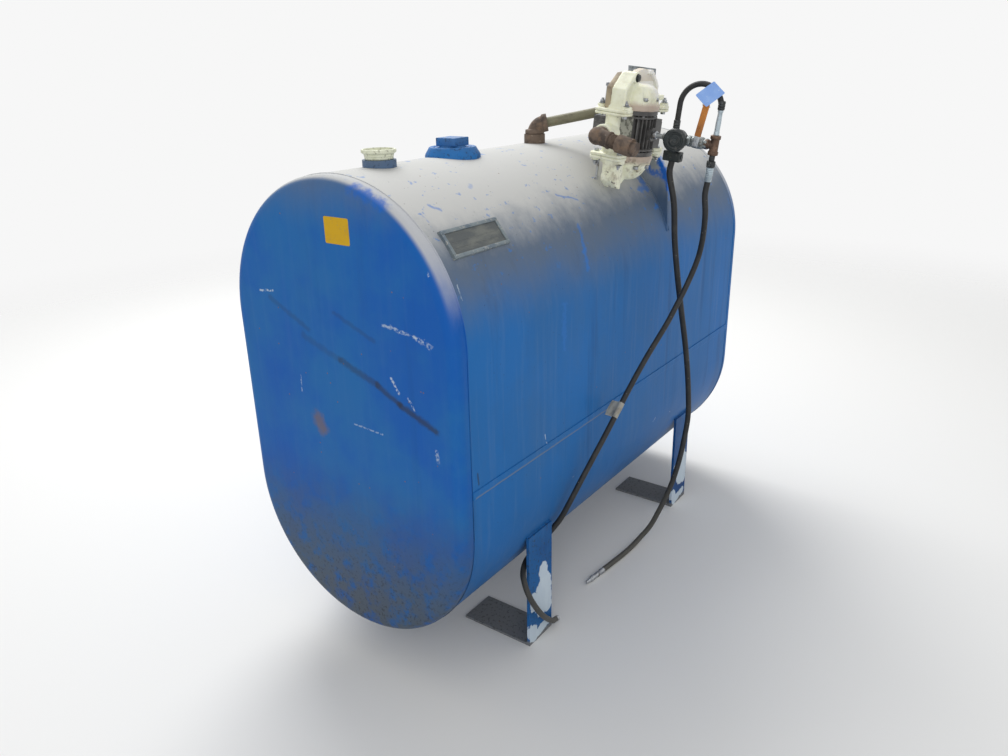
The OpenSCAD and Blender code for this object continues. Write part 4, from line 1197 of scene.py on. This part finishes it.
pale_zinc = mottled("fitting_steel_pale", (0.4, 0.35), (60, 0.46, 0.2),
    ((0.44, 0.52, 0.57), (0.3, 0.36, 0.4)), grain=(200, 0.0004, 0.3))
bm = bmesh.new()
turned(bm, [(0, 0.024), (0.006, 0.024), (0.007, 0.025), (0.007, 0.033), (0.0062, 0.0342),
    (0.0064, 0.036), (0.0066, 0.054), (0.0058, 0.07), (0.0056, 0.078), (0.0068, 0.079),
    (0.0068, 0.0835), (0, 0.0837)])
put("stem_turned", bm, pale_zinc, tee, node="jumper_stem")
hose_rubber, shader, where = new_finish("hose_rubber_dusty", 0.62)
dusty = times(patchy(where, 28, 0.46, 0.2), 0.25)
tone = layer(dusty, (0.011, 0.012, 0.013), (0.06, 0.056, 0.05))
low_dust = times(ease(one_axis(where, "Z"), 0.3, 0.04), 0.55)
tone = layer(low_dust, tone, (0.11, 0.105, 0.09))
specked = times(speckled(where, 120, 0.25, 0.15), 0.5)
feed(shader, "Base Color", layer(specked, tone, (0.2, 0.18, 0.15)))
roughen(shader, noise(where, 260), 0.0004, 0.4)
dress(hose_rubber, "jumper_hose")
bm = bmesh.new()
for y, z in ((tee_y, 0.084), (-0.127, 0.0245)):
    turned(bm, [(0.0066, 0), (0.008, 0.0004), (0.0086, 0.0014), (0.0086, 0.006), (0.008, 0.0068),
        (0.0086, 0.0076), (0.0086, 0.013), (0.008, 0.0138), (0.0086, 0.0146), (0.0084, 0.02),
        (0.0072, 0.021), (0.0066, 0.021)], (0, y, z))
put("jumper_ferrules", bm, dark_metal, pump, slot="fitting_steel")
bm = bmesh.new()
turned(bm, [(0, 0), (0.0072, 0), (0.0072, -0.015), (0, -0.015)])
hexagon(bm, 0.0118, 0.0125, (0, 0, -0.027))
turned(bm, [(0, -0.027), (0.0098, -0.027), (0.0106, -0.0285), (0.0098, -0.03), (0, -0.03)])
soften(bm, 0.0006, 2, 50)
swivel = pump @ placed((0, tee_y, -0.024))
put("swivel_nut", bm, dark_metal, swivel, slot="fitting_steel")
bm = bmesh.new()
ribs = [(0.01 if k % 2 else 0.0086, -0.0325 - 0.0022 * k) for k in range(9)]
turned(bm, [(0, -0.03), (0.0085, -0.03), (0.0095, -0.0308), *ribs, (0.0094, -0.052),
    (0.009, -0.053), (0.0088, -0.064), (0.0078, -0.0655), (0, -0.0655)])
put("swivel_crimp", bm, pale_zinc, swivel, node="delivery_swivel")


# Free hoses: black rubber, crimped at both ends. The air hose hangs from the block to the
# ground; the delivery hose crosses it, swings behind the near leg and ends beside it.
def smooth_route(points, steps=6):
    """Points on a smooth line through the given ones."""
    points = [Vector(p) for p in points]
    ends = [2 * points[0] - points[1], *points, 2 * points[-1] - points[-2]]
    line = []
    for a, b, c, d in zip(ends, ends[1:], ends[2:], ends[3:]):
        for k in range(steps):
            t = k / steps
            line.append(0.5 * (2 * b + (c - a) * t + (2 * a - 5 * b + 4 * c - d) * t * t
                + (3 * b - a - 3 * c + d) * t ** 3))
    return line + [points[-1]]


def from_end(route):
    """The frame at a route's last point, with Z running on along the hose."""
    ahead = (route[-1] - route[-2]).normalized()
    return Matrix.Translation(route[-1]) @ ahead.to_track_quat("Z", "Y").to_matrix().to_4x4()


air_points = [
    (0.07, -0.30734, 1.19427), (0.07, -0.30307, 1.15953), (0.076, -0.31713, 1.085),
    (0.092, -0.31813, 0.985), (0.112, -0.32413, 0.88), (0.14, -0.33013, 0.773),
    (0.166, -0.33613, 0.674), (0.189, -0.34013, 0.575), (0.204, -0.34213, 0.486),
    (0.209, -0.34213, 0.434), (0.204, -0.34013, 0.386), (0.192, -0.33613, 0.323),
    (0.181, -0.33013, 0.27), (0.17, -0.32013, 0.215), (0.16, -0.30413, 0.158),
    (0.152, -0.28613, 0.105), (0.144, -0.26613, 0.055), (0.12, -0.24613, 0.02),
    (0.08, -0.24013, 0.009), (0.027, -0.23813, 0.0085), (-0.03, -0.23313, 0.0085),
    (-0.087, -0.22713, 0.0085),
]
oil_points = [
    (0.07, -0.40741, 1.14773), (0.07, -0.40314, 1.11299), (0.076, -0.40513, 1.065),
    (0.094, -0.39613, 1.005), (0.11, -0.38213, 0.951), (0.11, -0.36813, 0.904),
    (0.092, -0.35313, 0.85), (0.064, -0.34313, 0.808), (0.031, -0.33413, 0.767),
    (-0.051, -0.31613, 0.688), (-0.12, -0.30413, 0.619), (-0.199, -0.29013, 0.532),
    (-0.26, -0.28113, 0.472), (-0.309, -0.27213, 0.42), (-0.335, -0.25813, 0.371),
    (-0.351, -0.24013, 0.324), (-0.371, -0.21913, 0.285), (-0.41, -0.20413, 0.255),
    (-0.456, -0.20313, 0.24), (-0.492, -0.21613, 0.228), (-0.513, -0.23613, 0.21),
    (-0.517, -0.25413, 0.18), (-0.5, -0.26413, 0.14), (-0.474, -0.26413, 0.104),
    (-0.437, -0.25613, 0.066), (-0.406, -0.25013, 0.038), (-0.38, -0.24413, 0.024),
]
air_route, oil_route = smooth_route(air_points), smooth_route(oil_points)

bm = bmesh.new()
turned(bm, [(0, 0), (0.0083, 0), (0.0085, 0.001), (0.0085, 0.016), (0.0078, 0.0175),
    (0.006, 0.019), (0.006, 0.024), (0.0076, 0.025), (0.0085, 0.027), (0.0085, 0.033),
    (0.0072, 0.0345), (0.0072, 0.05), (0.0085, 0.0515), (0.0085, 0.062), (0.0078, 0.063),
    (0.0058, 0.064), (0.0058, 0.071), (0.0046, 0.0725), (0.0046, 0.08), (0.0036, 0.0838),
    (0, 0.0838)], steps=40)
thread(bm, 4, 0.0082, 0.00845, 0.003, 0.003, 0.0016)
coupler = put("coupler_turned", bm, bare_steel, from_end(air_route), node="air_coupler")
bm = bmesh.new()
ribs = [(0.0075 if k % 2 else 0.0067, 0.0016 + 0.0018 * k) for k in range(8)]
turned(bm, [(0, 0), (0.0072, 0), (0.0075, 0.0006), *ribs, (0.0072, 0.0165), (0.005, 0.0175),
    (0.005, 0.02), (0.006, 0.0205), (0.006, 0.022), (0.0035, 0.022), (0, 0.018)], steps=40)
tail = put("delivery_ferrule", bm, bare_steel, from_end(oil_route), node="delivery_end")

# Flag: a strip of paper folded round the delivery hose, with its two ends held together.
# Both hoses are then laid along their routes, with the pieces that go with them.
paper = mottled("flag_paper_aged", (0.8,), (45, 0.45, 0.2), ((0.7, 0.68, 0.6), (0.5, 0.47, 0.4)))
strip = [(0.034, 0.0012), (0.022, 0.0004), (0.011, 0.0003)]
strip += [(u, v) for u, v, _ in circle(30, 0.0079)][1:]
strip += [(0.011, -0.0003), (0.022, -0.0002), (0.0335, 0.0004)]
half = 0.022
bm = bmesh.new()
rows = [[bm.verts.new((v + 4 * (z / half) ** 2 * max(0, u - 0.011) ** 2, -u, z)) for u, v in strip]
    for z in (-half, -half / 2, 0, half / 2, half)]
for low_row, high_row in zip(rows, rows[1:]):
    for k in range(len(strip) - 1):
        bm.faces.new((low_row[k], low_row[k + 1], high_row[k + 1], high_row[k]))
bmesh.ops.solidify(bm, geom=bm.faces[:], thickness=0.0002)
start, end = Vector(oil_points[10]), Vector(oil_points[11])
tilt = (end - start).normalized()
heading = Matrix.Rotation(math.atan2(tilt.y, tilt.x), 4, "Z")
heading @= Matrix.Rotation(math.acos(tilt.z), 4, "Y")
flag = put("flag_folded", bm, paper, Matrix.Translation((start + end) / 2) @ heading,
    node="hose_flag")

for name, route, diameter, node, ends in (
    ("air_hose_run", air_route, 0.016, "air_hose", [coupler]),
    ("delivery_hose_run", oil_route, 0.015, "delivery_hose", [tail, flag]),
):
    hose = put_curve(name, route, diameter, hose_rubber)
    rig.replaces(hose, node)
    length = sum((b - a).length for a, b in zip(route, route[1:]))
    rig.cord(hose, exit=route[0], length=length, diameter=diameter, far_end="connector",
        stiffness="medium", lay="hanging", with_pieces=ends)

with open("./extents.json", "w") as out:
    out.write(str([[list(corner) for corner in cad_box], [list(corner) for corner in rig.bounds()]]))
